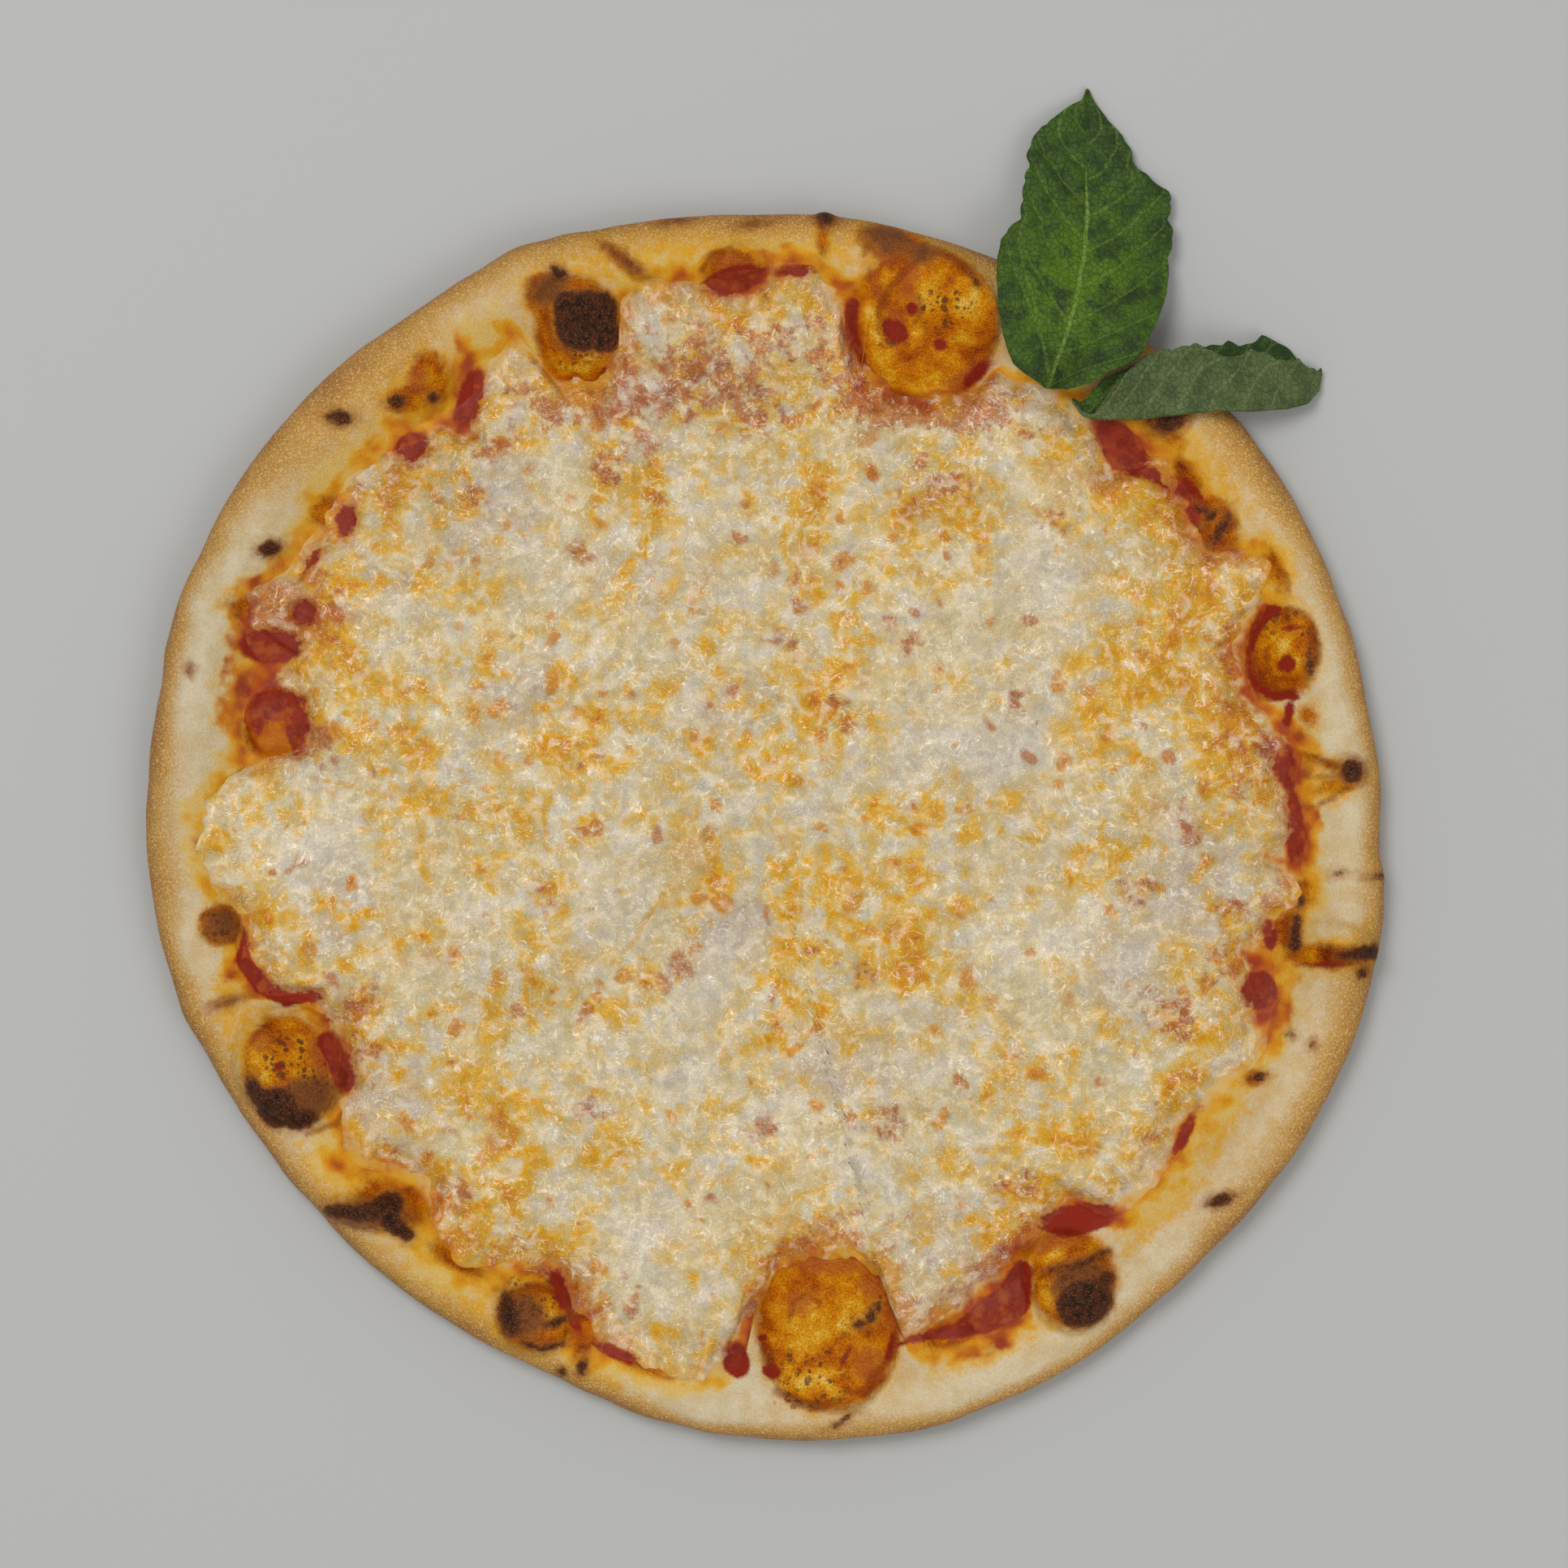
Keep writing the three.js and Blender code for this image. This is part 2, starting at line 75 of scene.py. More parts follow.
def along(knots, x):
    return np.interp(x, [k[0] for k in knots], [k[1] for k in knots])


def lattice(x, y, seed):
    # smooth noise from -1 to 1 with features about one unit wide
    cells = 256
    table = np.random.default_rng(seed).random((cells, cells)) * 2 - 1
    i = np.floor(x).astype(int)
    j = np.floor(y).astype(int)
    u = smooth(x - i)
    v = smooth(y - j)
    across = (i + 1) % cells
    up = (j + 1) % cells
    i = i % cells
    j = j % cells
    return blend(blend(table[i, j], table[across, j], u), blend(table[i, up], table[across, up], u), v)


def cloud(x, y, size, seed, octaves=2):
    # lattice noise of the given size and, half as large and half as strong each time, its octaves
    octaveShift = 13
    result = 0
    for k in range(octaves):
        result = result + lattice(x * 2**k / size + octaveShift * k, y * 2**k / size, seed + k) / 2**k
    return result / (2 - 2 ** (1 - octaves))


def clouds(x, y, layers, base=0):
    # the base with several clouds added, each [strength, size, seed]
    for strength, size, seed in layers:
        base = base + strength * cloud(x, y, size, seed)
    return base


def turned(x, y, cx, cy, turn):
    # the places along and across a line through (cx, cy)
    c = math.cos(math.radians(turn))
    s = math.sin(math.radians(turn))
    dx = x - cx
    dy = y - cy
    return dx * c + dy * s, dy * c - dx * s


def spotDistance(x, y, spots):
    # how far outside the nearest ellipse, negative inside it
    nearest = np.full(np.shape(x), farAway)
    for cx, cy, long, wide, turn in spots:
        lengthwise, crosswise = turned(x, y, cx, cy, turn)
        d = np.hypot(lengthwise / long, crosswise / wide)
        nearest = np.minimum(nearest, (d - 1) * min(long, wide))
    return nearest


def strokeDistance(x, y, strokes):
    # how far outside the nearest stroke, each a list of [x, y, radius]
    nearest = np.full(np.shape(x), farAway)
    for stroke in strokes:
        for (ax, ay, ar), (bx, by, br) in zip(stroke, stroke[1:]):
            run = (bx - ax) ** 2 + (by - ay) ** 2
            t = np.clip(((x - ax) * (bx - ax) + (y - ay) * (by - ay)) / run, 0, 1)
            d = np.hypot(x - ax - t * (bx - ax), y - ay - t * (by - ay))
            nearest = np.minimum(nearest, d - blend(ar, br, t))
    return nearest


def zoneField(x, y, zones):
    # sum of soft zones, each [x, y, half length, half width, turn, strength]
    result = np.zeros(np.shape(x))
    for cx, cy, long, wide, turn, strength in zones:
        lengthwise, crosswise = turned(x, y, cx, cy, turn)
        result += strength * np.exp(-(lengthwise / long) ** 2 - (crosswise / wide) ** 2)
    return result


# meshes and pieces

def makePiece(name, points, faces, material, node, fields, crisp=None):
    # crisp is the range of points whose own edges stay sharp
    mesh = bpy.data.meshes.new(name)
    mesh.from_pydata((np.asarray(points) * mm).tolist(), [], faces)
    for field, values in fields.items():
        layer = mesh.attributes.new(field, "FLOAT", "POINT")
        layer.data.foreach_set("value", np.asarray(values, np.float32))
    mesh.polygons.foreach_set("use_smooth", [True] * len(mesh.polygons))
    mesh.materials.append(material)
    mesh.update()
    if crisp:
        ends = np.empty(2 * len(mesh.edges), np.int32)
        mesh.edges.foreach_get("vertices", ends)
        ends = ends.reshape(-1, 2)
        sharp = ((ends >= crisp[0]) & (ends < crisp[1])).all(axis=1)
        mesh.edges.foreach_set("use_edge_sharp", sharp.tolist())
    piece = bpy.data.objects.new(name, mesh)
    bpy.context.scene.collection.objects.link(piece)
    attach(piece, "root")
    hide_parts(node)
    print(name, "made with", len(mesh.vertices), "points")


def fromPolar(angle, reach):
    return reach * np.cos(angle), reach * np.sin(angle)


def ringPoints(angle, reach, height):
    x, y = fromPolar(angle, reach)
    return np.stack([x, y, np.broadcast_to(height, angle.shape)], axis=1)


def neighbours(count, flip):
    # each point of a ring and the next one, the other way round where flipped
    k = np.arange(count)
    ahead = (k + 1) % count
    return (ahead, k) if flip else (k, ahead)


def ringFaces(first, rings, count, flip=False):
    # quads between rings of count points each
    a, b = neighbours(count, flip)
    rows = []
    for r in range(rings - 1):
        start = first + r * count
        rows.append(np.stack([start + a, start + b, start + count + b, start + count + a], axis=1))
    return np.concatenate(rows).tolist()


def capFaces(first, count, pole, flip):
    a, b = neighbours(count, flip)
    return np.stack([first + a, first + b, np.full(count, pole)], axis=1).tolist()


def closedRings(rings, low, high):
    # points and faces of rings in a row, closed by a point in the middle at either end
    count = len(rings)
    rays = len(rings[0])
    points = np.concatenate(rings + [[[0, 0, low], [0, 0, high]]])
    faces = ringFaces(0, count, rays)
    faces += capFaces(0, rays, count * rays, True)
    faces += capFaces((count - 1) * rays, rays, count * rays + 1, False)
    return points, faces


# shader building

def tint(red, green, blue):
    # a colour given in screen bytes, in the linear values that shaders use
    def linear(v):
        v /= 255
        return v / 12.92 if v <= 0.04045 else ((v + 0.055) / 1.055) ** 2.4
    return (linear(red), linear(green), linear(blue), 1)


def add(tree, kind, inputs=None, **settings):
    # a node whose inputs are linked where a socket is given, and set otherwise
    node = tree.nodes.new("ShaderNode" + kind)
    for name, value in settings.items():
        setattr(node, name, value)
    fill(tree, node, inputs or {})
    return node


def fill(tree, node, inputs):
    for socket, value in inputs.items():
        if isinstance(value, bpy.types.NodeSocket):
            tree.links.new(value, node.inputs[socket])
        else:
            node.inputs[socket].default_value = value


def maths(tree, operation, a, b=0.0):
    return add(tree, "Math", {0: a, 1: b}, operation=operation).outputs[0]


def vectorMaths(tree, operation, a, b):
    other = "Scale" if operation == "SCALE" else 1
    return add(tree, "VectorMath", {0: a, other: b}, operation=operation).outputs[0]


def mixed(tree, mask, under, over, how="MIX"):
    # sockets 6, 7 and 2 are the colour ones
    node = add(tree, "Mix", {0: mask, 6: under, 7: over}, data_type="RGBA", blend_type=how)
    return node.outputs[2]


def stepped(tree, value, start, end, low=0.0, high=1.0):
    # eases from low at start to high at end
    inputs = {0: value, 1: start, 2: end, 3: low, 4: high}
    return add(tree, "MapRange", inputs, interpolation_type="SMOOTHSTEP").outputs[0]


def swing(tree, value, gain):
    # noise brought to a middle of zero
    return maths(tree, "MULTIPLY", maths(tree, "SUBTRACT", value, 0.5), gain)


def swings(tree, values, gains):
    return [swing(tree, value, gain) for value, gain in zip(values, gains)]


def total(tree, *values):
    result = values[0]
    for value in values[1:]:
        result = maths(tree, "ADD", result, value)
    return result


def product(tree, *values):
    result = values[0]
    for value in values[1:]:
        result = maths(tree, "MULTIPLY", result, value)
    return result


def less(tree, value, amount):
    return maths(tree, "SUBTRACT", value, amount)


def most(tree, a, b):
    return maths(tree, "MAXIMUM", a, b)


def ramp(tree, value, stops):
    # colour by value, from a list of (place, tint)
    node = add(tree, "ValToRGB", {"Fac": value})
    elements = node.color_ramp.elements
    elements[0].position = stops[0][0]
    elements[0].color = stops[0][1]
    elements[1].position = stops[-1][0]
    elements[1].color = stops[-1][1]
    for place, color in stops[1:-1]:
        elements.new(place).color = color
    return node.outputs[0]


def attribute(tree, name):
    return add(tree, "Attribute", attribute_name=name).outputs["Fac"]


def objectPlace(tree):
    return add(tree, "TexCoord").outputs["Object"]


def noiseNode(tree, place, size, detail, **more):
    return add(tree, "TexNoise", {"Vector": place, "Scale": 1 / (size * mm), "Detail": detail, **more})


def noise(tree, place, size, detail, rough):
    return noiseNode(tree, place, size, detail, Roughness=rough).outputs[0]


def warped(tree, place, size, reach):
    # the place moved about by noise of the given size
    bend = noiseNode(tree, place, size, 1.0)
    shift = vectorMaths(tree, "SUBTRACT", bend.outputs["Color"], (0.5, 0.5, 0.5))
    return vectorMaths(tree, "ADD", place, vectorMaths(tree, "SCALE", shift, reach * mm))


def shaded(tree, color, shade):
    # the colour times one number
    grey = add(tree, "CombineColor", {0: shade, 1: shade, 2: shade}).outputs[0]
    return mixed(tree, 1.0, color, grey, "MULTIPLY")


def startGroup(name, inputs, outputs):
    group = bpy.data.node_groups.new(name, "ShaderNodeTree")
    for socket, kind, value in inputs:
        made = group.interface.new_socket(socket, in_out="INPUT", socket_type="NodeSocket" + kind)
        if value is not None:
            made.default_value = value
    for socket, kind in outputs:
        group.interface.new_socket(socket, in_out="OUTPUT", socket_type="NodeSocket" + kind)
    return group, group.nodes.new("NodeGroupInput").outputs, group.nodes.new("NodeGroupOutput").inputs


def useGroup(tree, group, inputs):
    # the output of a group whose inputs are given in its own order
    node = tree.nodes.new("ShaderNodeGroup")
    node.node_tree = group
    fill(tree, node, dict(enumerate(inputs)))
    return node.outputs[0]


# Looks give a noise as (size, detail, roughness), the edge of a mask as (stray, size, softness)
# and blobs as (size, share, radius, softness). A name that ends in Range holds start and end,
# and then the values at both where they aren't 0 and 1.

raggedLook = {"noise": {"Detail": 3.0, "Roughness": 0.6}, "gain": 4.0}


def makeRaggedMask():
    # a mask that is 1 where a distance in millimetres is negative, with a ragged edge
    look = raggedLook
    group, given, result = startGroup(
        "raggedMask",
        [
            ("Place", "Vector", None), ("Distance", "Float", 0.0), ("Stray", "Float", 0.5),
            ("Size", "Float", 2.0), ("Softness", "Float", 0.4),
        ],
        [("Mask", "Float")],
    )
    scale = maths(group, "DIVIDE", 1 / mm, given["Size"])
    inputs = {"Vector": given["Place"], "Scale": scale, **look["noise"]}
    waver = less(group, add(group, "TexNoise", inputs).outputs[0], 0.5)
    stray = product(group, waver, product(group, given["Stray"], look["gain"]))
    distance = total(group, given["Distance"], stray)
    back = product(group, given["Softness"], -1.0)
    group.links.new(stepped(group, distance, given["Softness"], back), result["Mask"])
    return group


blobLook = {
    "detail": 2.0,
    "wander": 1.1,  # how far an outline strays, in cells
    "chance": 0.02,  # how softly a cell is left out
    "smallest": 0.45,  # radius of the smallest blob, as a share of the given one
}


def makeBlobs():
    # round blobs scattered at random, with a share of the cells left empty
    look = blobLook
    group, given, result = startGroup(
        "scatteredBlobs",
        [
            ("Place", "Vector", None), ("Size", "Float", 3.0), ("Share", "Float", 0.3),
            ("Radius", "Float", 0.35), ("Softness", "Float", 0.12),
        ],
        [("Mask", "Float")],
    )
    scale = maths(group, "DIVIDE", 1 / mm, given["Size"])
    wobble = add(group, "TexNoise", {"Vector": given["Place"], "Scale": scale, "Detail": look["detail"]})
    shift = vectorMaths(group, "SUBTRACT", wobble.outputs["Color"], (0.5, 0.5, 0.5))
    moved = vectorMaths(group, "SCALE", shift, maths(group, "DIVIDE", look["wander"], scale))
    place = vectorMaths(group, "ADD", given["Place"], moved)
    cells = add(group, "TexVoronoi", {"Vector": place, "Scale": scale})
    draw = add(group, "SeparateColor", {0: cells.outputs["Color"]}).outputs
    chosen = stepped(group, draw[0], given["Share"], less(group, given["Share"], look["chance"]))
    radius = product(group, given["Radius"], total(group, draw[1], look["smallest"]))
    inner = less(group, radius, given["Softness"])
    mask = product(group, stepped(group, cells.outputs["Distance"], radius, inner), chosen)
    group.links.new(mask, result["Mask"])
    return group


strandHighlightLook = {
    "bend": (5, 8),  # size and reach
    "detail": 1.0,
    "lineRange": (0.026, 0.003),
    "patches": (6, 2.0, 0.6),
    "patchRange": (0.98, 1.12),
}


def makeStrandHighlights():
    # painted highlights: short thin strands that lie about one way, shown in patches
    look = strandHighlightLook
    group, given, result = startGroup(
        "strandHighlights",
        [
            ("Place", "Vector", None), ("Turn", "Float", 0.0), ("Length", "Float", 5.0),
            ("Gap", "Float", 1.0), ("Share", "Float", 0.5),
        ],
        [("Mask", "Float")],
    )
    bent = warped(group, given["Place"], *look["bend"])
    inputs = {"Vector": bent, "Angle": given["Turn"]}
    laid = add(group, "VectorRotate", inputs, rotation_type="Z_AXIS").outputs[0]
    lengthwise = maths(group, "DIVIDE", 1 / mm, given["Length"])
    crosswise = maths(group, "DIVIDE", 1 / mm, given["Gap"])
    stretch = add(group, "CombineXYZ", {0: lengthwise, 1: crosswise, 2: lengthwise}).outputs[0]
    scaled = vectorMaths(group, "MULTIPLY", laid, stretch)
    field = add(group, "TexNoise", {"Vector": scaled, "Scale": 1.0, "Detail": look["detail"]}).outputs[0]
    line = stepped(group, maths(group, "ABSOLUTE", less(group, field, 0.5)), *look["lineRange"])
    patch = total(group, noise(group, laid, *look["patches"]), given["Share"])
    group.links.new(product(group, line, stepped(group, patch, *look["patchRange"])), result["Mask"])
    return group


stainLook = {
    "tones": [
        (0.0, tint(208, 172, 96)), (0.15, tint(208, 156, 46)), (0.38, tint(204, 136, 18)),
        (0.6, tint(188, 104, 16)), (0.8, tint(162, 68, 22)), (1.0, tint(140, 46, 24)),
    ],
    "clouding": (6, 1, 0.6),
    "unevenness": 1.5,
}


def makeStainTone():
    # oil and sauce soaked in together, from pale yellow to red as it grows rich
    look = stainLook
    inputs = [("Place", "Vector", None), ("Rich", "Float", 0.5)]
    group, given, result = startGroup("stainTone", inputs, [("Color", "Color")])
    uneven = swing(group, noise(group, given["Place"], *look["clouding"]), look["unevenness"])
    group.links.new(ramp(group, total(group, given["Rich"], uneven), look["tones"]), result["Color"])
    return group


curdLook = {
    "coarse": (5, 2, 0.55),
    "coarseReach": 13.0,
    "fine": (1.2, 2.0, 0.5),
    "fineReach": 2.5,
    "richReach": 3.0,  # how much further back the curds end where the stain is rich
    "coverRange": (4.6, 0.0),
}


def makeCurdMask():
    # 1 where curds cover the stain, by the distance beyond the cheese's edge in millimetres
    look = curdLook
    inputs = [("Place", "Vector", None), ("Distance", "Float", 0.0), ("Rich", "Float", 0.5)]
    group, given, result = startGroup("curdMask", inputs, [("Mask", "Float")])
    coarse = swing(group, noise(group, given["Place"], *look["coarse"]), look["coarseReach"])
    fine = swing(group, noise(group, given["Place"], *look["fine"]), look["fineReach"])
    uneven = total(group, coarse, fine)
    beyond = total(group, given["Distance"], uneven, product(group, given["Rich"], look["richReach"]))
    group.links.new(stepped(group, beyond, *look["coverRange"]), result["Mask"])
    return group


raggedMask = makeRaggedMask()
scatteredBlobs = makeBlobs()
strandHighlights = makeStrandHighlights()
stainTone = makeStainTone()
curdMask = makeCurdMask()


def ragged(tree, place, distance, stray, size, softness):
    return useGroup(tree, raggedMask, (place, distance, stray, size, softness))


def blobs(tree, place, size, share, radius, softness):
    return useGroup(tree, scatteredBlobs, (place, size, share, radius, softness))


def highlightStrands(tree, place, turn, length, gap, share):
    return useGroup(tree, strandHighlights, (place, math.radians(turn), length, gap, share))


def stain(tree, place, rich):
    return useGroup(tree, stainTone, (place, rich))


def curdCover(tree, place, distance, rich):
    return useGroup(tree, curdMask, (place, distance, rich))


def startMaterial(name):
    material = bpy.data.materials.new(name)
    material.use_nodes = True
    tree = material.node_tree
    return material, tree, objectPlace(tree)


def finishMaterial(tree, look, color, height):
    shader = tree.nodes["Principled BSDF"]
    tree.links.new(color, shader.inputs["Base Color"])
    shader.inputs["Roughness"].default_value = look["roughness"]
    shader.inputs["Specular IOR Level"].default_value = look["specular"]
    bump = add(tree, "Bump", {"Height": height, "Strength": 1.0, "Distance": look["bumpDepth"] * mm})
    tree.links.new(bump.outputs[0], shader.inputs["Normal"])


def noises(tree, place, look, *names):
    # the look's noises of those names, each given there as (size, detail, roughness)
    return [noise(tree, place, *look[name]) for name in names]


# shapes that the layers share

dough = {
    "floor": 4.5,
    "rim": 12.2,
    "waves": [[0.5, 3, 1], [0.4, 7, 0], [0.25, 11, 2]],  # [height, count, phase] along the crest
    "shoulder": 9,
    "foot": 26,
    "edgeHeight": 4.6,
    "tuck": 5,
    "roundness": 0.62,  # under 1 makes a blister's sides steep and its top broad
    "foldSlope": 2.4,
    "innerReach": 100,  # where the rim's fine rings end
    "rays": 1130,
    "bottomShares": (0.25, 0.5, 0.75, 0.93),
    "tuckRings": 8,
    "shoulderRings": 14,
    "slopeRings": 52,
    "floorReaches": (75, 40, 12),
    "under": -30,  # the distance in from the edge that stands for the underside
    "middle": 60,  # and the one that stands for the middle of the floor
    "tuckStep": 0.9,  # and how much further out each ring round the tuck counts
    "roughness": 0.22,  # height of the small unevenness
    "uneven": [[1, 7, 31], [0.4, 2.4, 32]],
    "unevenHeight": (3, 7),  # from nothing to full
    "unevenInward": (60, 50),
    "swell": [[0.35, 9, 33]],
    "swellMiddle": 5,
    "swellReach": (8, 2),
    "swellFoot": 0.2,
    "upperSide": 3,  # what lies above this height is painted
    "sideBand": 0.2,  # how far into the golden band the side counts
    "oilHeight": (4, 7),
    "stainGain": 1.3,
    "stainLimits": (-2, 3),
}

# the edges of cheese and sauce, with layers of noise, each [strength, size, seed], and the sauce's top
topping = {
    "noiseReach": 130,  # radius of the circle along which an edge's noise is read
    "cheeseRagged": [[1.7, 4.2, 11], [0.8, 1.6, 12]],
    "sauceRagged": [[0.8, 4, 21], [0.35, 1.5, 22]],
    "overhang": 0.4,  # least width of sauce past the cheese
    "film": 0.3,
    "depth": 0.8,
    "depthStart": 0.5,
    "depthRun": 5,
}

# [angle, reach] of the dough's widest edge, the cheese's edge and the sauce's edge
edgeReach = [
    [0, 151.5], [4.5, 152.2], [12, 151.5], [20, 152.3], [30, 153.2], [40, 153.9], [50, 152.5],
    [60, 151.5], [70, 151.5], [80, 152], [83, 151.9], [84.5, 152.7], [86, 151.9], [90, 151.5],
    [95, 152], [100, 152.6], [105, 153.5], [110, 155.3], [113, 156.1], [118, 155], [125, 154.3],
    [135, 155.6], [150, 155.9], [154, 155.4], [158, 155.9], [163, 155], [167, 153.6], [178, 153.3],
    [190, 152.2], [197, 151.2], [203, 149], [208, 147.6], [215, 146.5], [220, 145.8], [230, 145.4],
    [240, 145], [248, 145], [253, 146.5], [260, 148.8], [265, 150.4], [277, 152.3], [287, 153.8],
    [291, 153.2], [300, 153], [310, 151.8], [316, 151.5], [322, 152.6], [330, 153.8], [340, 154.4],
    [345, 154.2], [351, 154.2], [355, 153.5], [358, 151.7],
]
cheeseReach = [
    [0, 131], [5, 128], [9, 130], [12, 126], [16, 122.5], [21, 123], [23, 127], [25, 134], [28, 140],
    [30, 137], [32, 129], [38, 131], [43, 133], [46, 124], [51, 128], [58, 128.5], [63, 126],
    [64.5, 118], [72, 112], [79, 117.5], [80.5, 124], [82, 132], [86, 139], [88, 138], [92, 132],
    [98, 135], [103, 138], [105, 135], [107.5, 123], [111, 118], [114.5, 121], [117, 134], [121, 132],
    [125, 127], [127, 121], [129.5, 127], [131, 127], [137, 133], [142, 134], [147, 131.5], [152, 134],
    [156, 139], [158, 138], [160, 126], [165, 123.5], [170, 117], [172.5, 126], [175, 134], [178, 138],
    [182, 139], [186, 137], [190, 131], [194, 131], [198, 129], [200.5, 120], [205, 117], [211, 119.5],
    [214, 126], [218, 128], [222, 125], [226, 121], [230, 128], [236, 131], [240, 124], [245, 121],
    [249, 128], [253, 134], [258, 135.5], [263, 137], [265.5, 131], [268, 120], [272, 109], [276, 106],
    [281, 107.5], [284, 113], [285.3, 131], [287, 130.3], [290, 129], [296, 124], [303, 120],
    [309, 118], [312, 126], [317, 129], [325, 126], [330, 127], [335, 134], [340, 128], [345, 122],
    [349, 128], [353, 133], [356, 127],
]
sauceReach = [
    [0, 133], [5, 132], [8, 133.5], [12, 130], [14, 124.5], [20, 124.5], [24, 135], [30, 131],
    [36, 132], [40, 133.5], [44, 132], [47, 133.5], [50, 133], [52, 130], [58, 129.5], [64, 119],
    [74, 114], [78, 118], [78.8, 135], [80.8, 135], [82, 134], [87, 139.5], [91, 138], [94, 137.5],
    [97.5, 134], [100, 136], [105, 136], [107, 124], [111, 119], [115, 124], [117, 136.5], [120, 134],
    [122, 134], [124.5, 129], [131, 131], [133, 132.5], [135, 129], [140, 134.5], [148, 134],
    [151, 134.5], [155, 138], [158, 140], [160, 137], [162, 132], [168, 132], [171, 128], [173, 130],
    [178, 139], [192, 132], [195, 134.5], [198, 131], [200.5, 121], [204, 118.5], [206.5, 122],
    [213, 126], [218, 131.5], [222, 128], [228, 125], [235, 131], [239, 128], [242.5, 123.5],
    [246, 123.5], [247, 128], [249, 134], [253, 135.5], [262, 137], [265, 135.5], [267, 134],
    [269, 118], [273, 108], [281, 109], [284.5, 117], [286, 132.5], [288, 132.5], [291, 135.5],
    [294, 136], [298, 135.5], [299.5, 130], [301, 122], [305, 120], [309, 119.5], [311, 128],
    [313, 130], [318, 130.5], [322, 129.5], [326, 128.5], [330, 131], [335, 135], [340, 133.5],
    [343, 132], [346, 129], [350, 130], [353, 134], [356, 133], [358, 134],
]

# dough bubbles: [angle, reach, half length, half width, turn, height]
blisters = [
    [110.5, 131.5, 13.5, 11.5, 110, 7.5],
    [72.6, 131, 19.5, 18.5, 100, 8],
    [78.7, 147, 6.5, 4.5, 160, 3],
    [18.9, 134.5, 11.5, 9.3, 85, 4.5],
    [34.5, 134, 9.5, 6.5, 120, 3],
    [45.1, 140.6, 6.5, 4.5, 25, 2.2],
    [5.4, 143.8, 6, 4.5, 5, 2.6],
    [349, 144, 10.5, 4.5, 349, 2.6],
    [303.6, 134.5, 13, 11, 290, 7.5],
    [277, 125, 20, 18, 280, 8.5],
    [279.4, 138.6, 7, 5.5, 50, 4.5],
    [290, 132.5, 6.5, 4.5, 20, 2.6],
    [244.7, 132.8, 10.5, 9, 250, 5.5],
    [224.5, 135.6, 12.5, 4.5, 350, 3.4],
    [206.4, 131, 15, 14, 290, 8.5],
    [190.3, 137, 5.5, 4.5, 200, 3],
    [167.8, 124, 8.5, 7.5, 80, 3.6],
    [128, 138, 9.5, 7.5, 50, 3.6],
    [93.2, 139.5, 8.5, 5, 10, 3],
    [136.1, 145.8, 4, 2.8, 10, 1.6],
    [150.6, 140.2, 4, 3, 20, 1.2],
    [320.7, 144.5, 4, 2.4, 10, 1.2],
    [84.4, 151, 3, 2.6, 90, 1.6],
    [251.2, 140.2, 2.6, 3.4, 70, 1.2],
    [249.5, 143, 2, 2, 0, 1],
]
# baked-in folds: strokes of [x, y, radius] and their height
folds = [
    [[[-107, -94, 2.6], [-98, -94.4, 3.4], [-90, -95, 3.6]], 1.4],
    [[[130.6, -22, 1.8], [130.6, -29.5, 1.8], [141, -31, 2], [149.5, -31.6, 2.4]], 1.5],
    [[[-39.5, 142.6, 1.4], [-31, 136.6, 1.8]], 0.8],
    [[[70.6, -108.2, 1.2], [84, -105.4, 1.2]], -1.2],
]


def blisterHeight(x, y):
    top = np.zeros(np.shape(x))
    for angle, reach, long, wide, turn, height in blisters:
        cx = reach * math.cos(math.radians(angle))
        cy = reach * math.sin(math.radians(angle))
        lengthwise, crosswise = turned(x, y, cx, cy, turn)
        d = np.hypot(lengthwise / long, crosswise / wide)
        top = np.maximum(top, height * np.clip(1 - d * d, 0, 1) ** dough["roundness"])
    for stroke, height in folds:
        top = top + height * smooth(0.5 - strokeDistance(x, y, [stroke]) / dough["foldSlope"])
    return top


def crestHeight(angle):
    waves = 0
    for height, count, phase in dough["waves"]:
        waves = waves + height * np.sin(count * angle + phase)
    return dough["rim"] + waves


def rimHeight(angle, reach):
    inward = around(edgeReach, angle) - reach
    return blend(dough["floor"], crestHeight(angle), rise(inward, dough["foot"], dough["shoulder"]))


def doughHeight(angle, reach):
    return rimHeight(angle, reach) + blisterHeight(*fromPolar(angle, reach))


def raggedEdge(knots, angle, layers):
    x, y = fromPolar(angle, topping["noiseReach"])
    return clouds(x, y, layers, around(knots, angle))


def cheeseEdge(angle):
    return raggedEdge(cheeseReach, angle, topping["cheeseRagged"])


def sauceEdge(angle):
    edge = raggedEdge(sauceReach, angle, topping["sauceRagged"])
    return np.maximum(edge, cheeseEdge(angle) + topping["overhang"])


def toppingLift(angle, reach):
    # the sauce's upper face over the dough: a film past the cheese, full depth well inside it
    inside = cheeseEdge(angle) - reach - topping["depthStart"]
    return topping["film"] + topping["depth"] * smooth(inside / topping["depthRun"])


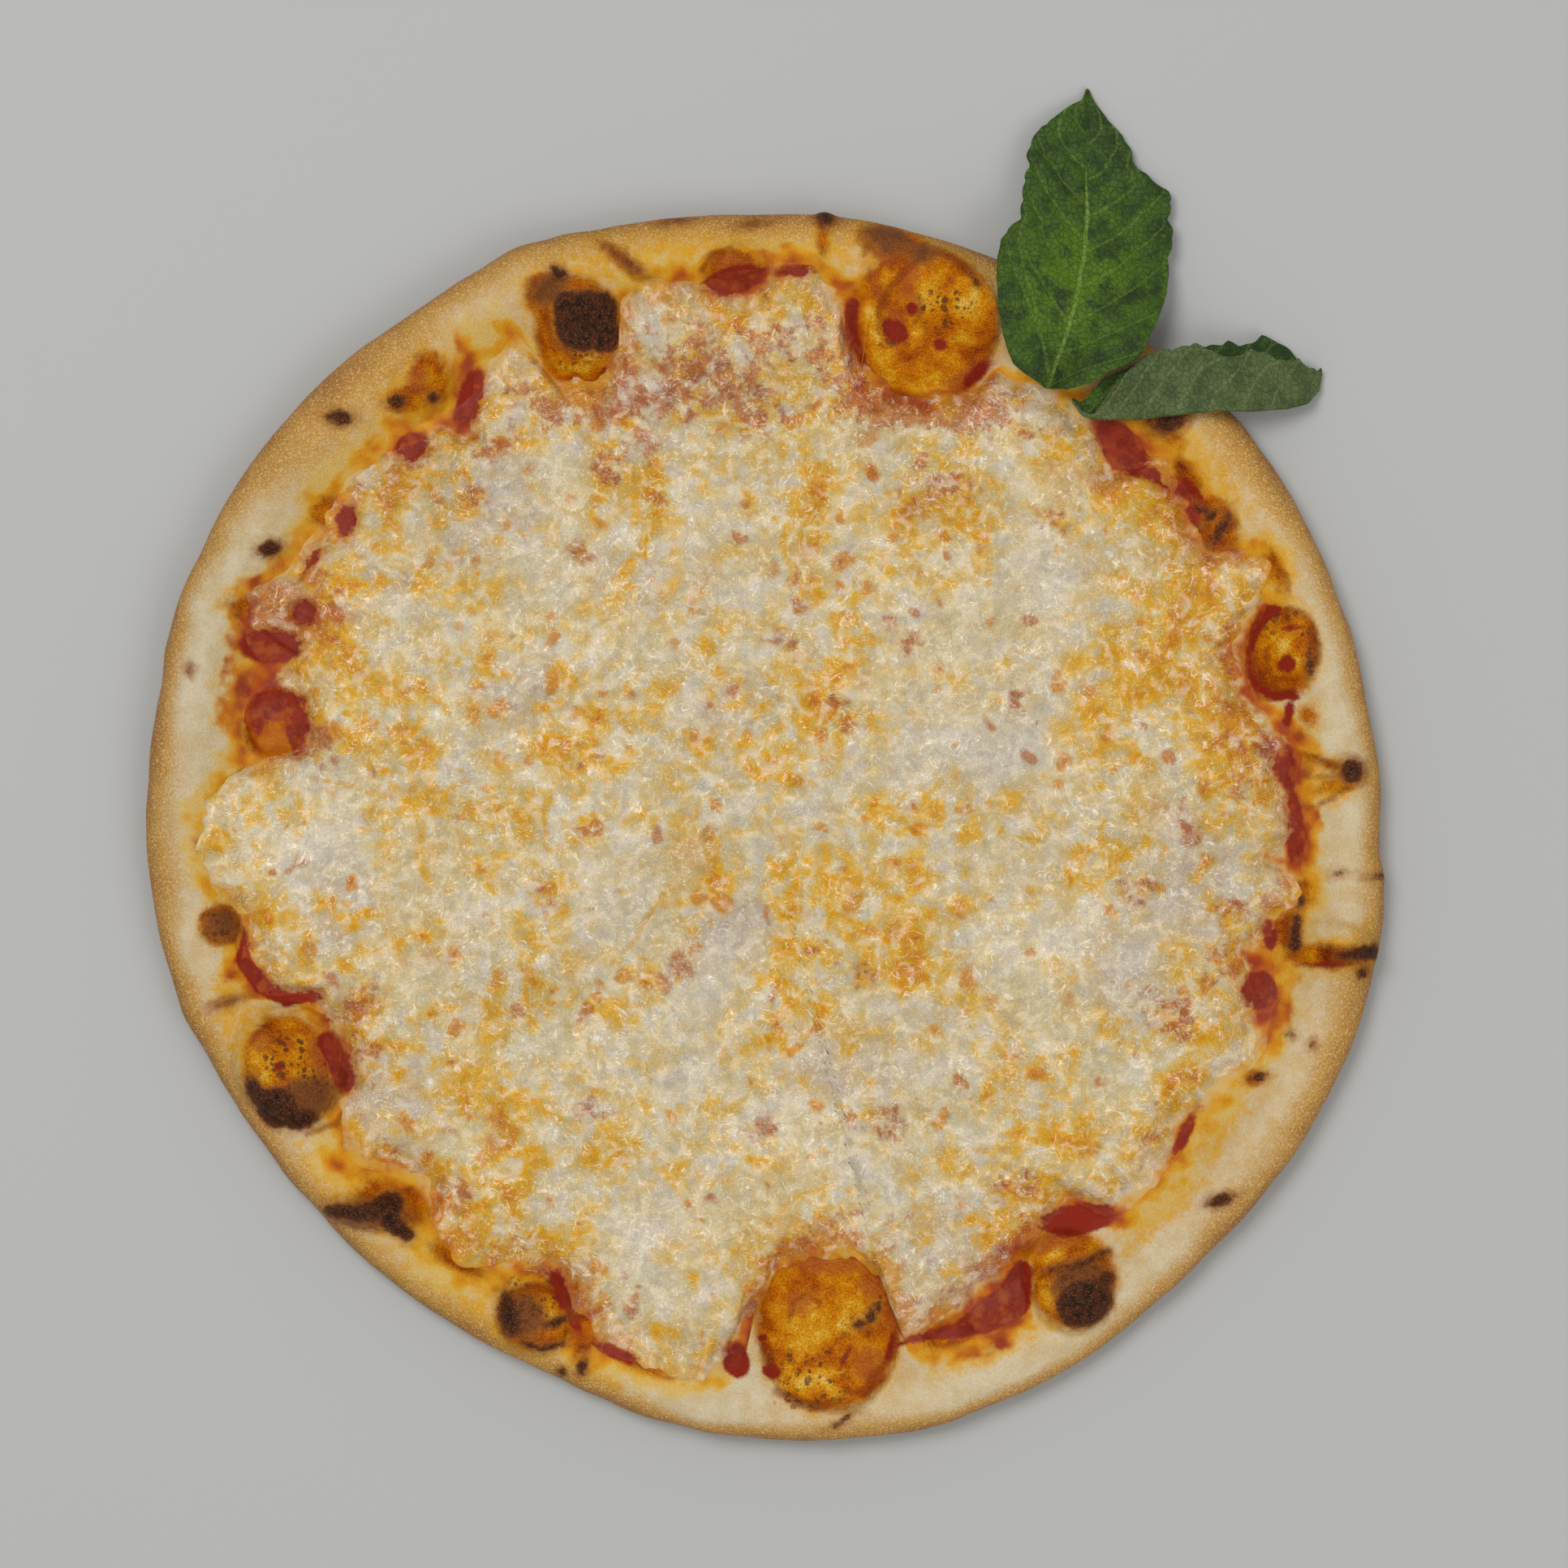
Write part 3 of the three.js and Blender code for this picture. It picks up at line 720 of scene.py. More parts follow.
# the sauce shows where the cheese has pulled back or run thin
barePatches = [
    [-73.4, 105.8, 7.8, 2.9, 73], [-87.8, 94, 4.4, 3.4, 30], [-122.4, 44.8, 7.6, 4.2, 0],
    [-114, 53, 3, 3, 60], [-120.6, 30.4, 6.8, 3.8, 0], [-115.8, 25.4, 2.6, 6.4, 0],
    [-126, 27, 1.4, 4, 10], [-103.8, 76, 2.6, 4, 0], [87.8, 94, 8.6, 4.4, 310],
    [103.4, -76, 1.5, 5.5, 335], [77.2, -96.8, 9.4, 3.8, 10], [121.8, -40.2, 4.4, 4.6, 0],
    [-8, 135, 8.2, 3.2, 14], [7.6, 137.2, 4.6, 1.4, 4], [-36.8, -129.4, 5.6, 1.5, 335],
    [-50.6, -114, 1.8, 5.4, 15], [-7.4, -131.4, 3.2, 4.4, 20], [120.6, 36, 1.1, 4, 25],
    [127, 32.6, 4.4, 1.2, 10], [105.6, 82, 1.6, 6, 30], [-112.4, 66, 1.2, 5, 330],
    [51.8, 112, 4.4, 1.6, 45], [124.6, -27, 1.8, 3.4, 10],
]
bareStrokes = [
    [
        [31.9, -127.9, 0.4], [38.8, -125.6, 0.9], [47.8, -123.8, 1.8], [54, -121, 3.6],
        [61, -116.6, 4.4], [63.2, -109.6, 2.6],
    ],
    [
        [-128.2, -25, 0.8], [-129.4, -32.6, 1.6], [-124.8, -38.8, 2.2], [-118.6, -42.6, 1.6],
        [-110.8, -41.6, 1.2],
    ],
    [[-108.6, -52.6, 2.2], [-105.6, -57, 2.6], [-103.8, -63, 2.4]],
    [[21.2, 129, 1.6], [20.8, 121.6, 1.6], [24, 115.6, 0.8]],
    [[129.2, 30, 1.2], [128.6, 26, 1]],
    [
        [128.4, 19, 1.4], [127.9, 15.1, 3], [129.6, 9.6, 0.8], [130.6, 3, 1.6], [130.8, -2.6, 2.4],
        [130.6, -8, 1.2],
    ],
    [
        [124, 53.4, 1.8], [120.8, 49, 1.2], [119, 42, 0.5], [120.4, 36, 0.8], [124.6, 32.6, 1.1],
        [130.6, 32.4, 1],
    ],
    [[88, 92, 3.2], [94, 88, 1.6], [103, 83, 1.2], [106, 76, 1.2]],
]

# how red the stain round the cheese is: [angle, value]
stainRich = [
    [0, 0.7], [8, 0.8], [14, 0.6], [20, 0.7], [26, 0.25], [32, 0.55], [40, 0.55], [48, 0.75],
    [56, 0.35], [64, 0.6], [70, 0.7], [78, 0.75], [84, 0.4], [90, 0.75], [98, 0.5], [103, 0.25],
    [108, 0.6], [114, 0.35], [119, 0.05], [124, 0.7], [128, 0.55], [134, 0.5], [139, 0.25], [146, 0.35],
    [150, 0.4], [156, 0.75], [164, 0.8], [170, 0.65], [175, 0.2], [184, 0.1], [190, 0.45], [198, 0.65],
    [206, 0.75], [214, 0.25], [219, 0.5], [226, 0.45], [233, 0.25], [239, 0.5], [246, 0.7], [252, 0.5],
    [259, 0.1], [264, 0.2], [268, 0.65], [276, 0.45], [284, 0.35], [288, 0.5], [296, 0.75], [304, 0.6],
    [310, 0.7], [315, 0.2], [323, 0.4], [329, 0.2], [335, 0.2], [341, 0.75], [347, 0.5], [353, 0.4],
    [358, 0.7],
]


def bareDistance(x, y):
    return np.minimum(spotDistance(x, y, barePatches), strokeDistance(x, y, bareStrokes))


# the bubbles and their burns

bubbleLook = {
    "tones": [
        (0.0, tint(120, 42, 6)), (0.2, tint(150, 68, 0)), (0.42, tint(178, 94, 0)),
        (0.64, tint(196, 120, 2)), (0.84, tint(208, 148, 26)), (1.0, tint(218, 174, 76)),
    ],
    "deepAmber": tint(136, 60, 10),
    "rosy": tint(164, 78, 34),
    "red": tint(136, 38, 20),
    "scorch": tint(152, 90, 34),
    "toast": tint(112, 64, 34),
    "speck": tint(96, 52, 26),
    "char": tint(84, 45, 26),
    "soot": tint(42, 27, 20),
    "charSparkleHighlight": tint(150, 98, 64),
    "middling": (7, 2, 0.55),
    "patchy": (3, 2, 0.5),
    "fine": (0.9, 2, 0.7),
    "grain": (0.5, 1, 0.6),
    "tone": 0.49,
    "toneGains": (1.5, 0.4, 0.5),  # of the middling, patchy and grain noises
    "domeEdge": (0.8, 3.4, 1.3),
    "footGain": 1.5,
    "footRange": (-5.5, 0.4, 0.0, -0.22),
    "paleEdge": (2.0, 3.4, 3.0),
    "paleLift": 0.3,
    "rosyEdge": (0.9, 2.6, 1.2),
    "rosyAmount": 0.62,
    "foldEdge": (0.35, 1.8, 0.8),
    "foldAmount": 0.72,
    "redEdge": (0.35, 1.8, 0.5),
    "scorchGrowth": 0.7,
    "scorchEdge": (0.9, 2.4, 1.6),
    "scorchAmount": 0.75,
    "toastShrink": 0.5,
    "toastEdge": (1.3, 2.2, 1.5),
    "toastAmount": 0.85,
    "speckEdge": (1.6, 2.5, 2.0),
    "smallSpecks": (1.6, 0.7, 0.42, 0.22),
    "largeSpecks": (2.5, 0.55, 0.4, 0.18),
    "speckAmount": 0.85,
    "charEdge": (0.6, 1.8, 0.7),
    "crust": (1.6, 3, 0.7),
    "crustRange": (0.42, 0.6),
    "sootShrink": 0.8,
    "sootEdge": (0.8, 1.6, 0.8),
    "sootRange": (-2.2, -5.0, 0.0, 0.5),
    "sparkleHighlightRange": (0.56, 0.7),
    "sparkleHighlightAmount": 0.34,
}

# dark burns, [x, y, half length, half width, turn]
charSpots = [
    [-44.4, 124.6, 8, 7.2, 30], [-48, 127.6, 4.4, 4.4, 0], [-40.4, 121.4, 4.6, 4.4, 0],
    [-40.6, 128, 4, 4, 0], [-51, 136.4, 2.4, 1.6, 150], [14.6, 150.6, 2.1, 2.2, 0],
    [133.8, 40, 0.9, 2.4, 350], [112.2, 73.6, 1.2, 3.4, 150], [109.6, 76.8, 0.8, 2.2, 120],
    [107, 78.6, 1.6, 0.8, 150], [144, 14, 2.6, 2.8, 0], [140.8, -11.3, 0.9, 0.6, 20],
    [152, -12, 0.6, 2.4, 90], [131.7, -18.2, 1.3, 1.5, 0], [147, -35.8, 1.5, 1.2, 30],
    [134.6, -53.4, 0.8, 0.6, 60], [129.2, -51, 0.7, 0.6, 0], [121.6, -61.4, 1.7, 1, 10],
    [111.8, -91.6, 3.2, 1.5, 15], [78.2, -116.8, 7.2, 5.8, 20], [83.4, -111, 2.6, 1.6, 20],
    [19.4, -145.4, 1.6, 0.5, 30], [17.2, -147.2, 0.6, 0.5, 0], [22.6, -122, 1.5, 0.9, 20],
    [25.8, -120.4, 1.3, 1.6, 10], [27.6, -118, 0.9, 1.1, 0], [-63.1, -119.6, 2.6, 5.2, 15],
    [-51.6, -121.4, 2.6, 1.1, 25], [-45.2, -132.6, 1.3, 2.2, 160], [-50.2, -134.1, 1.1, 1.1, 0],
    [-120.2, -68.8, 5.4, 5.2, 340], [-125.4, -65, 2.2, 4.4, 20], [-114.8, -71.6, 4.4, 2.8, 10],
    [-91, 105, 1.9, 1.6, 0], [-82, 106, 1.3, 1.2, 0], [-105, 101, 3.2, 1.7, 175],
    [-122.2, 68.8, 3, 1.9, 15], [99.4, 100, 4.2, 2.2, 20],
]
charStrokes = [
    [
        [-107.4, -94.2, 1.6], [-98, -94.4, 2.2], [-92.6, -92.8, 3.2], [-92.4, -96.6, 2.4],
        [-88.4, -100, 1.8],
    ],
    [[131, -22.4, 0.9], [130.4, -29, 1.4]],
    [[140.6, -31.4, 0.7], [145.6, -31, 1.6], [149.4, -30.6, 2]],
    [[-60, -126.4, 0.6], [-55, -128, 0.7], [-50, -127, 0.6]],
    [[-38.6, 142.2, 0.2], [-31.4, 137.4, 0.2]],
    [[50.2, 136.6, 0.2], [52.1, 133.7, 0.6]],
    [[69.6, -108.8, 0.3], [77, -107.4, 0.5], [84, -104.6, 0.7]],
]
# paler browned places
toastSpots = [
    [-53.6, 132.4, 4.6, 3.6, 30], [29.4, 145, 5.6, 3.4, 165], [144, 14, 3.4, 3.4, 0],
    [78, -113, 7.6, 7, 0], [-60, -120, 6, 5.4, 0], [-112.6, -66.6, 7, 5.4, 20],
    [-134.2, -23.8, 3.8, 3.8, 0], [-141.8, 39, 0.8, 1.1, 0], [99.4, 100, 5.2, 3, 20],
    [-98, -95, 10, 3.6, 355], [-34.8, 139.8, 5, 1.2, 143], [14.6, 150.4, 2.8, 2.8, 0],
    [-133, -43, 3.4, 1.2, 20], [126.7, 6, 2.2, 3.4, 0], [38, 141, 3, 2, 0], [-3, 149, 3, 1, 10],
    [-22, 150, 3, 1, 10],
]
# places where dark specks gather
speckSpots = [
    [44.1, 127.5, 6.4, 6, 0], [11, -138.4, 9, 4.8, 5], [13, -131.6, 6, 3.4, 20], [6, -131, 4, 1.6, 0],
    [23.4, -121.8, 4.4, 3, 40], [28, -115, 2.6, 3, 0], [-134.6, -24, 5, 5, 0],
    [-117, -56.4, 7, 6.4, 20], [-47, 117, 6, 3, 0], [132.2, 47, 2.6, 6, 15], [126.4, 50.6, 4, 2, 20],
    [76, -111, 8, 4, 0], [-112, -62, 6, 5, 0], [30, 121, 3, 3, 0], [-60.5, -118, 5, 7, 0],
    [-56, -117, 6, 5, 0], [110, 72, 5, 4, 0],
]
redSpots = [
    [-39.2, 112.6, 1.4, 1.2, 0], [31.7, 122.4, 4, 2.5, 322], [35.8, 127.6, 1.4, 1.7, 20],
    [43, 118.9, 1.7, 1.4, 0], [52.6, 112, 3, 1.2, 35], [127.6, 40.6, 2.3, 1.5, 60],
    [128.6, 40.4, 1.7, 2.3, 10], [129.3, 49.2, 2.2, 0.7, 5], [1.4, -133.8, 2.4, 2, 340],
    [-1, -125.8, 1.2, 0.9, 0], [19.4, -130.3, 2.6, 0.7, 60], [30.6, -128.4, 0.9, 3.4, 345],
    [-119.4, -58.4, 1.4, 1.3, 0], [-52.4, -111, 1.6, 3, 20], [-47.4, -121, 1.4, 4.4, 20],
    [124.6, 53.4, 2.4, 1.8, 20], [138, -33.6, 5, 0.6, 0],
]
# thin reddish skin over the sauce
rosySpots = [
    [35.4, 135, 2.2, 5, 335], [36.4, 128.6, 2, 2.8, 20], [32, 126, 2, 3, 20], [8.6, -117, 3.6, 2.8, 20],
    [17, -107.4, 12, 2.6, 356], [31.4, -118, 2, 8, 0], [26, -113, 4, 3, 330],
    [25.6, -132, 4.6, 4.4, 20], [-123.9, -52.4, 2.1, 2.5, 0], [50, 111, 8, 2.6, 35],
    [27, 133, 1.4, 5, 20], [-117.4, -53, 1.3, 1.4, 0], [118, 45, 2, 7, 10], [30, 141, 3, 3, 0],
    [-110.4, -56, 2, 6, 10], [72, -101.6, 8, 2.4, 10], [-86, 110, 2.6, 3, 0], [-8.4, 138.2, 4, 2.4, 10],
    [-121.4, 22, 4.4, 3, 20], [28, 108, 5, 2.4, 320], [44, 106, 6, 2.4, 10], [113, 68, 3, 3, 0],
    [-139.6, -3.8, 1.5, 1.8, 0],
]
# folds and rims of the bubbles, as darker lines
foldStrokes = [
    [
        [41.7, 142.3, 0.6], [35.5, 138, 0.7], [30, 132.5, 0.9], [27.8, 127.5, 0.9], [27.8, 123.2, 0.7],
        [30, 119.6, 0.6], [34.9, 118.8, 0.4],
    ],
    [[33.4, 145.4, 0.5], [38.6, 142.9, 0.9], [43.5, 142, 0.8], [49, 138, 1], [52.1, 133.7, 0.7]],
    [[24, 141, 0.5], [26, 147, 0.7], [31, 148, 0.7], [35, 145.6, 0.5]],
    [[22, 118, 0.3], [27, 110, 0.5], [36, 105.8, 0.4]],
    [[37.4, 131, 0.3], [38.4, 127, 0.6], [36.8, 124.4, 0.5]],
    [[120.8, 50, 0.9], [119.2, 43, 0.9], [121.4, 36.4, 1], [126, 33.6, 1], [130, 33.8, 0.7]],
    [[124.6, 52.6, 0.8], [129, 53.8, 0.6], [133, 52, 0.5]],
    [[123.4, 44.6, 0.5], [123.3, 39.6, 0.6], [125.6, 36.6, 0.6], [129.4, 36.4, 0.5]],
    [[124.8, 48, 0.4], [126.2, 50.8, 0.4], [129, 51.4, 0.3]],
    [[67, -110.6, 0.6], [70.4, -108.6, 0.8], [77, -107.2, 0.9], [84.4, -104.8, 0.8]],
    [
        [31.9, -125.3, 0.7], [31.3, -129.8, 0.9], [26.8, -134.6, 1], [24.5, -138.4, 1.3],
        [21, -138.8, 0.9], [19.3, -137.2, 0.4],
    ],
    [[2.6, -138.4, 0.9], [8, -141.6, 1.3], [14, -142.2, 1.3], [19, -140, 0.8]],
    [[5.6, -121.6, 0.4], [6.4, -117, 0.5], [10, -114.4, 0.5], [13, -117, 0.4]],
    [[-126.4, -53, 0.3], [-125.4, -50.2, 0.4], [-123, -49.8, 0.3]],
    [[-101.6, -67, 0.8], [-106, -72.8, 0.9], [-113, -75.4, 0.6]],
    [[-54.4, 128, 0.6], [-53, 120, 0.8], [-47, 115.6, 0.7]],
    [[-15.8, 137.2, 0.6], [-13.6, 141, 0.7], [-8.8, 142.4, 0.8], [-3.4, 139.4, 0.5]],
    [[133.4, 4.6, 0.3], [138.4, 6.8, 0.6], [143.4, 10, 0.8]],
    [[131.6, 18.6, 0.4], [137, 16.8, 0.7], [141.6, 14.6, 0.6]],
    [[132.4, 12.4, 0.3], [138, 12.6, 0.5], [142, 13, 0.6]],
    [[-64.8, -115.4, 0.6], [-57, -112.4, 0.8], [-49.4, -115.4, 0.8]],
    [[124, 66, 0.6], [128, 62, 0.7], [128.6, 58.6, 0.5]],
    [[-133, -38, 0.2], [-129, -34, 0.3], [-131, -28, 0.3]],
    [[-136, 2, 0.4], [-134, 8, 0.5], [-130, 13.6, 0.6], [-125, 16, 0.4]],
    [[-136, -6, 0.3], [-134.6, -14, 0.4], [-130, -20, 0.4]],
]
# orange domes and skirts
amberSpots = [
    [38.8, 123.6, 18.2, 19.2, 0], [-46.6, 123, 10.2, 12.4, 0], [-46, 113, 8.6, 4, 0],
    [-54.6, 131.4, 4.8, 5.4, 0], [127.4, 43.6, 8.8, 11, 0], [32, 143.6, 9, 4.4, 345],
    [110.5, 75, 7.4, 5, 120], [125.6, 63, 1.8, 5.4, 20], [140, 10.4, 4, 1.6, 15],
    [138, 15.6, 4.4, 0.9, 345], [132.6, -15.6, 2.4, 3.4, 0], [128.6, -25, 3.4, 5, 0],
    [138, -31.8, 10, 3, 357], [75.4, -110.8, 10.2, 12, 0], [15.4, -122.8, 17.6, 20.4, 0],
    [24.4, -133.4, 7, 5.8, 30], [-56.8, -120.4, 9.4, 8.4, 0], [-118, -58.6, 10.4, 12.6, 10],
    [-92, -92.4, 9, 5, 340], [-83, 110.4, 4.6, 6.8, 0], [-88, 106, 6, 3, 20], [-8.8, 138.4, 6.6, 4, 5],
    [-122.2, 23, 6.4, 6.4, 20], [44.4, -124.8, 5.6, 3.4, 20], [-27.5, -133, 5, 1.8, 345],
    [98, 98, 5, 2, 320], [-124.6, 53.6, 8, 3, 350], [-35, 139.4, 6, 1.4, 143], [-109, 78, 4, 3, 60],
    [62, -106, 6, 2, 40], [14, 145, 1.2, 4, 0], [104, 86, 2.4, 5, 30], [-134.4, -23.6, 5, 5, 0],
    [120, -62, 2, 1.6, 0], [-45.4, -124, 3.4, 6, 0], [-76, -106, 7, 2.6, 330], [133.6, 27.6, 2, 2.4, 0],
    [29.6, 143.4, 5, 2, 165],
]
# yellower, paler places on the domes
paleSpots = [
    [17.6, -120.6, 5.4, 4, 20], [11, -127, 6, 3.4, 30], [6, -136, 8, 3, 10], [50, 128.6, 3.4, 7, 10],
    [33, 113.6, 8, 2, 350], [44, 115, 2.4, 2, 0], [40.6, 134, 4, 5, 0], [-48, 114, 4, 1.4, 0],
    [126.6, 45, 1.6, 4, 20], [-55, -118.6, 4, 3, 0], [-124.6, -56, 3, 5, 10], [-114, -52.6, 5, 4, 0],
    [73, -103.6, 5, 1.6, 10], [68.4, -114, 2, 5, 20], [139.6, 10.4, 3, 1, 15], [-120.4, 21, 3, 2.4, 0],
    [44.6, -124.6, 2.6, 1.6, 0], [25, 127, 1.4, 4, 0], [-83, 111, 2, 3, 0],
]


def crustFields(x, y, above):
    # distances to the painted places, for the sauce over the dough too
    spots = {"amber": amberSpots, "pale": paleSpots, "rosy": rosySpots, "toast": toastSpots}
    spots["specks"] = speckSpots
    fields = {name: spotDistance(x, y, places) for name, places in spots.items()}
    fields["folds"] = strokeDistance(x, y, foldStrokes)
    fields["red"] = np.minimum(spotDistance(x, y, redSpots), bareDistance(x, y))
    fields["char"] = np.minimum(spotDistance(x, y, charSpots), strokeDistance(x, y, charStrokes))
    fields = {name: np.where(above, distance, farAway) for name, distance in fields.items()}
    fields["rich"] = around(stainRich, np.arctan2(y, x))
    return fields


def paintBubbles(tree, place, color):
    # orange domes with their folds, red and rosy places, specks and burns, with painted glints on burnt and
    # toasted places
    look = bubbleLook
    middling, patchy, fine, grain = noises(tree, place, look, "middling", "patchy", "fine", "grain")
    amber = attribute(tree, "amber")
    dome = ragged(tree, place, amber, *look["domeEdge"])
    foot = stepped(tree, total(tree, amber, swing(tree, fine, look["footGain"])), *look["footRange"])
    golden = ragged(tree, place, attribute(tree, "pale"), *look["paleEdge"])
    tone = total(tree, look["tone"], *swings(tree, (middling, patchy, grain), look["toneGains"]), foot)
    tone = total(tree, tone, product(tree, golden, look["paleLift"]))
    color = mixed(tree, dome, color, ramp(tree, tone, look["tones"]))
    rosy = ragged(tree, place, attribute(tree, "rosy"), *look["rosyEdge"])
    color = mixed(tree, product(tree, rosy, look["rosyAmount"]), color, look["rosy"])
    line = ragged(tree, place, attribute(tree, "folds"), *look["foldEdge"])
    color = mixed(tree, product(tree, line, look["foldAmount"]), color, look["deepAmber"])
    color = mixed(tree, ragged(tree, place, attribute(tree, "red"), *look["redEdge"]), color, look["red"])

    toast = attribute(tree, "toast")
    char = attribute(tree, "char")
    burnt = less(tree, maths(tree, "MINIMUM", toast, char), look["scorchGrowth"])
    scorched = ragged(tree, place, burnt, *look["scorchEdge"])
    color = mixed(tree, product(tree, scorched, look["scorchAmount"]), color, look["scorch"])
    toasted = ragged(tree, place, total(tree, toast, look["toastShrink"]), *look["toastEdge"])
    toasted = product(tree, toasted, look["toastAmount"])
    color = mixed(tree, toasted, color, look["toast"])
    gathered = ragged(tree, place, attribute(tree, "specks"), *look["speckEdge"])
    specks = most(tree, blobs(tree, place, *look["smallSpecks"]), blobs(tree, place, *look["largeSpecks"]))
    color = mixed(tree, product(tree, gathered, specks, look["speckAmount"]), color, look["speck"])
    charred = ragged(tree, place, char, *look["charEdge"])
    color = mixed(tree, charred, color, look["char"])
    cracks = stepped(tree, noise(tree, place, *look["crust"]), *look["crustRange"])
    sooty = ragged(tree, place, total(tree, char, look["sootShrink"]), *look["sootEdge"])
    depths = most(tree, product(tree, cracks, sooty), stepped(tree, char, *look["sootRange"]))
    color = mixed(tree, depths, color, look["soot"])
    # painted glints: small bright grains on the burnt and toasted places
    sparkleHighlight = product(tree, stepped(tree, grain, *look["sparkleHighlightRange"]), most(tree, charred, toasted))
    color = mixed(tree, product(tree, sparkleHighlight, look["sparkleHighlightAmount"]), color, look["charSparkleHighlight"])
    return color, dome, line, charred


# the dough

doughLook = {
    "cream": tint(204, 189, 158),
    "creamShade": tint(195, 174, 134),
    "golden": tint(198, 147, 70),
    "brownEdge": tint(162, 110, 60),
    "sparkleHighlight": tint(232, 202, 146),
    "yellow": tint(208, 152, 32),
    "paleYellow": tint(208, 172, 88),
    "underside": tint(188, 146, 92),
    "middling": (6, 3, 0.5),
    "patchy": (3, 4, 0.62),
    "fine": (0.9, 2, 0.7),
    "grain": (0.5, 1, 0.6),
    "creamRange": (0.35, 0.7),
    "giltGrowth": 1.0,
    "giltEdge": (2.4, 4.0, 2.6),
    "giltRange": (0.3, 0.6, 0.45, 0.95),
    "yellowRange": (0.3, 0.62, 0.35, 0.85),
    "waver": (16, 4, 0.6),
    "waverGain": 0.9,
    "fineGain": 0.35,
    "goldenRange": (1.0, 0.3, 0.0, 0.9),
    "brownRange": (0.45, -0.15, 0.0, 0.85),
    "bandRange": (1.1, 0.2),
    "sparkleHighlightRange": (0.56, 0.7, 0.0, 0.5),
    "underRange": (-8.0, -12.0),
    "oil": (5, 2, 0.5),
    "oilGain": 2.2,
    "thinOilRange": (-0.7, 0.2, 0.0, 0.65),
    "oilRange": (-0.2, 0.5, 0.0, 0.95),
    "richRange": (1.3, 0.2, 0.05, -0.2),
    "skirtGrowth": 1.2,
    "skirtEdge": (1.4, 3.4, 2.0),
    "skirtAmount": 0.7,
    "domeGrain": 0.7,
    "grainRange": (0.3, 0.7),
    "grainLow": 0.95,
    "grainDepth": 0.17,
    "grainHigh": 1.1,
    "grainLift": 0.3,
    "foldDepth": 0.8,
    "roughness": 0.42,
    "specular": 0.06,
    "bumpDepth": 0.32,
}

# how wide the golden band along the edge is, and how yellow with oil the rim is: [angle, value]
goldWidth = [
    [0, 7], [12, 7], [24, 7.5], [36, 12], [48, 9], [66, 8], [84, 10], [96, 9], [108, 9], [120, 9],
    [130, 21], [140, 18], [148, 11], [156, 7], [168, 7], [176, 11], [184, 11], [192, 7], [204, 8],
    [216, 7], [228, 8], [240, 8], [252, 8], [264, 4.5], [276, 8], [288, 4.5], [300, 4.5], [312, 7],
    [324, 11], [336, 10], [346, 13], [352, 9],
]
rimOil = [
    [0, 0.1], [12, 0.1], [22, 0.2], [30, 0.6], [40, 0.8], [50, 0.5], [64, 0.5], [78, 0.9], [86, 1.1],
    [96, 1.3], [108, 1.1], [118, 0.5], [128, 0.7], [136, 0.7], [144, 0.3], [156, 0], [168, 0],
    [180, 0.2], [192, 0.2], [198, 0.4], [204, 0.7], [214, 0.15], [222, 0.4], [230, 0.9], [240, 1],
    [250, 0.8], [258, 0.15], [266, 0], [274, 0.3], [282, 0.3], [290, 0.1], [300, 0.1], [312, 0.15],
    [324, 0.4], [336, 0.35], [346, 0.5], [354, 0.3],
]
# how much the rim is shaded: [angle, value]
rimShade = [
    [0, 1], [70, 1], [96, 0.97], [110, 0.94], [122, 0.95], [134, 0.98], [144, 0.92], [156, 0.93],
    [170, 0.94], [180, 0.92], [192, 0.95], [206, 0.95], [216, 1], [228, 0.97], [240, 0.99], [252, 1.02],
    [290, 1.02], [300, 1.03], [312, 1], [324, 0.97], [336, 1], [348, 0.9], [355, 0.99],
]
# yellow oil on the rim
goldSpots = [
    [-30, 139, 10, 4, 150], [-70, 119, 5, 2, 30], [-86, 109, 9, 7, 0], [-104, 86, 8, 5, 55],
    [-127, -52, 7, 9, 20], [-103, -90, 13, 5, 315], [-74, -119, 12, 5, 325], [-43, -134, 8, 3, 335],
    [57, -127.4, 10, 2, 25], [99, -92.6, 12, 3.6, 45], [114, -71, 8, 2.6, 62], [141, -30, 6, 3.4, 0],
    [148.6, -27, 4, 5, 90], [138, 11, 6, 4.6, 12], [125.6, 64, 9, 3, 115], [107, 90, 14, 4, 130],
    [10, 143, 12, 4, 0], [32, 147, 8, 2, 350], [-124, -40, 4, 3, 0], [-131, -40, 4, 8, 345],
    [132.6, -19, 2, 5, 0],
]
# how far the oil has crept past the sauce: [angle, width]
oilWidth = [
    [0, 2.6], [12, 3], [20, 1.6], [25, 4.4], [30, 4.6], [40, 5.4], [48, 5.4], [55, 3], [64, 1], [82, 3],
    [88, 3], [94, 4.6], [100, 5], [106, 3], [112, 1], [118, 6.6], [124, 8], [131, 6], [137, 5],
    [142, 6], [150, 3.4], [157, 2.6], [163, 6], [170, 6.4], [176, 3.4], [182, 2.4], [190, 3], [195, 4],
    [201, 2], [212, 5], [217, 5.6], [224, 5], [232, 7], [238, 5], [245, 1.6], [250, 5.4], [256, 3],
    [263, 2.4], [268, 1], [284, 1], [288, 6], [293, 4.4], [299, 3], [304, 1.4], [311, 4], [320, 5],
    [327, 4], [334, 2.6], [342, 4.4], [349, 5], [355, 3.4],
]


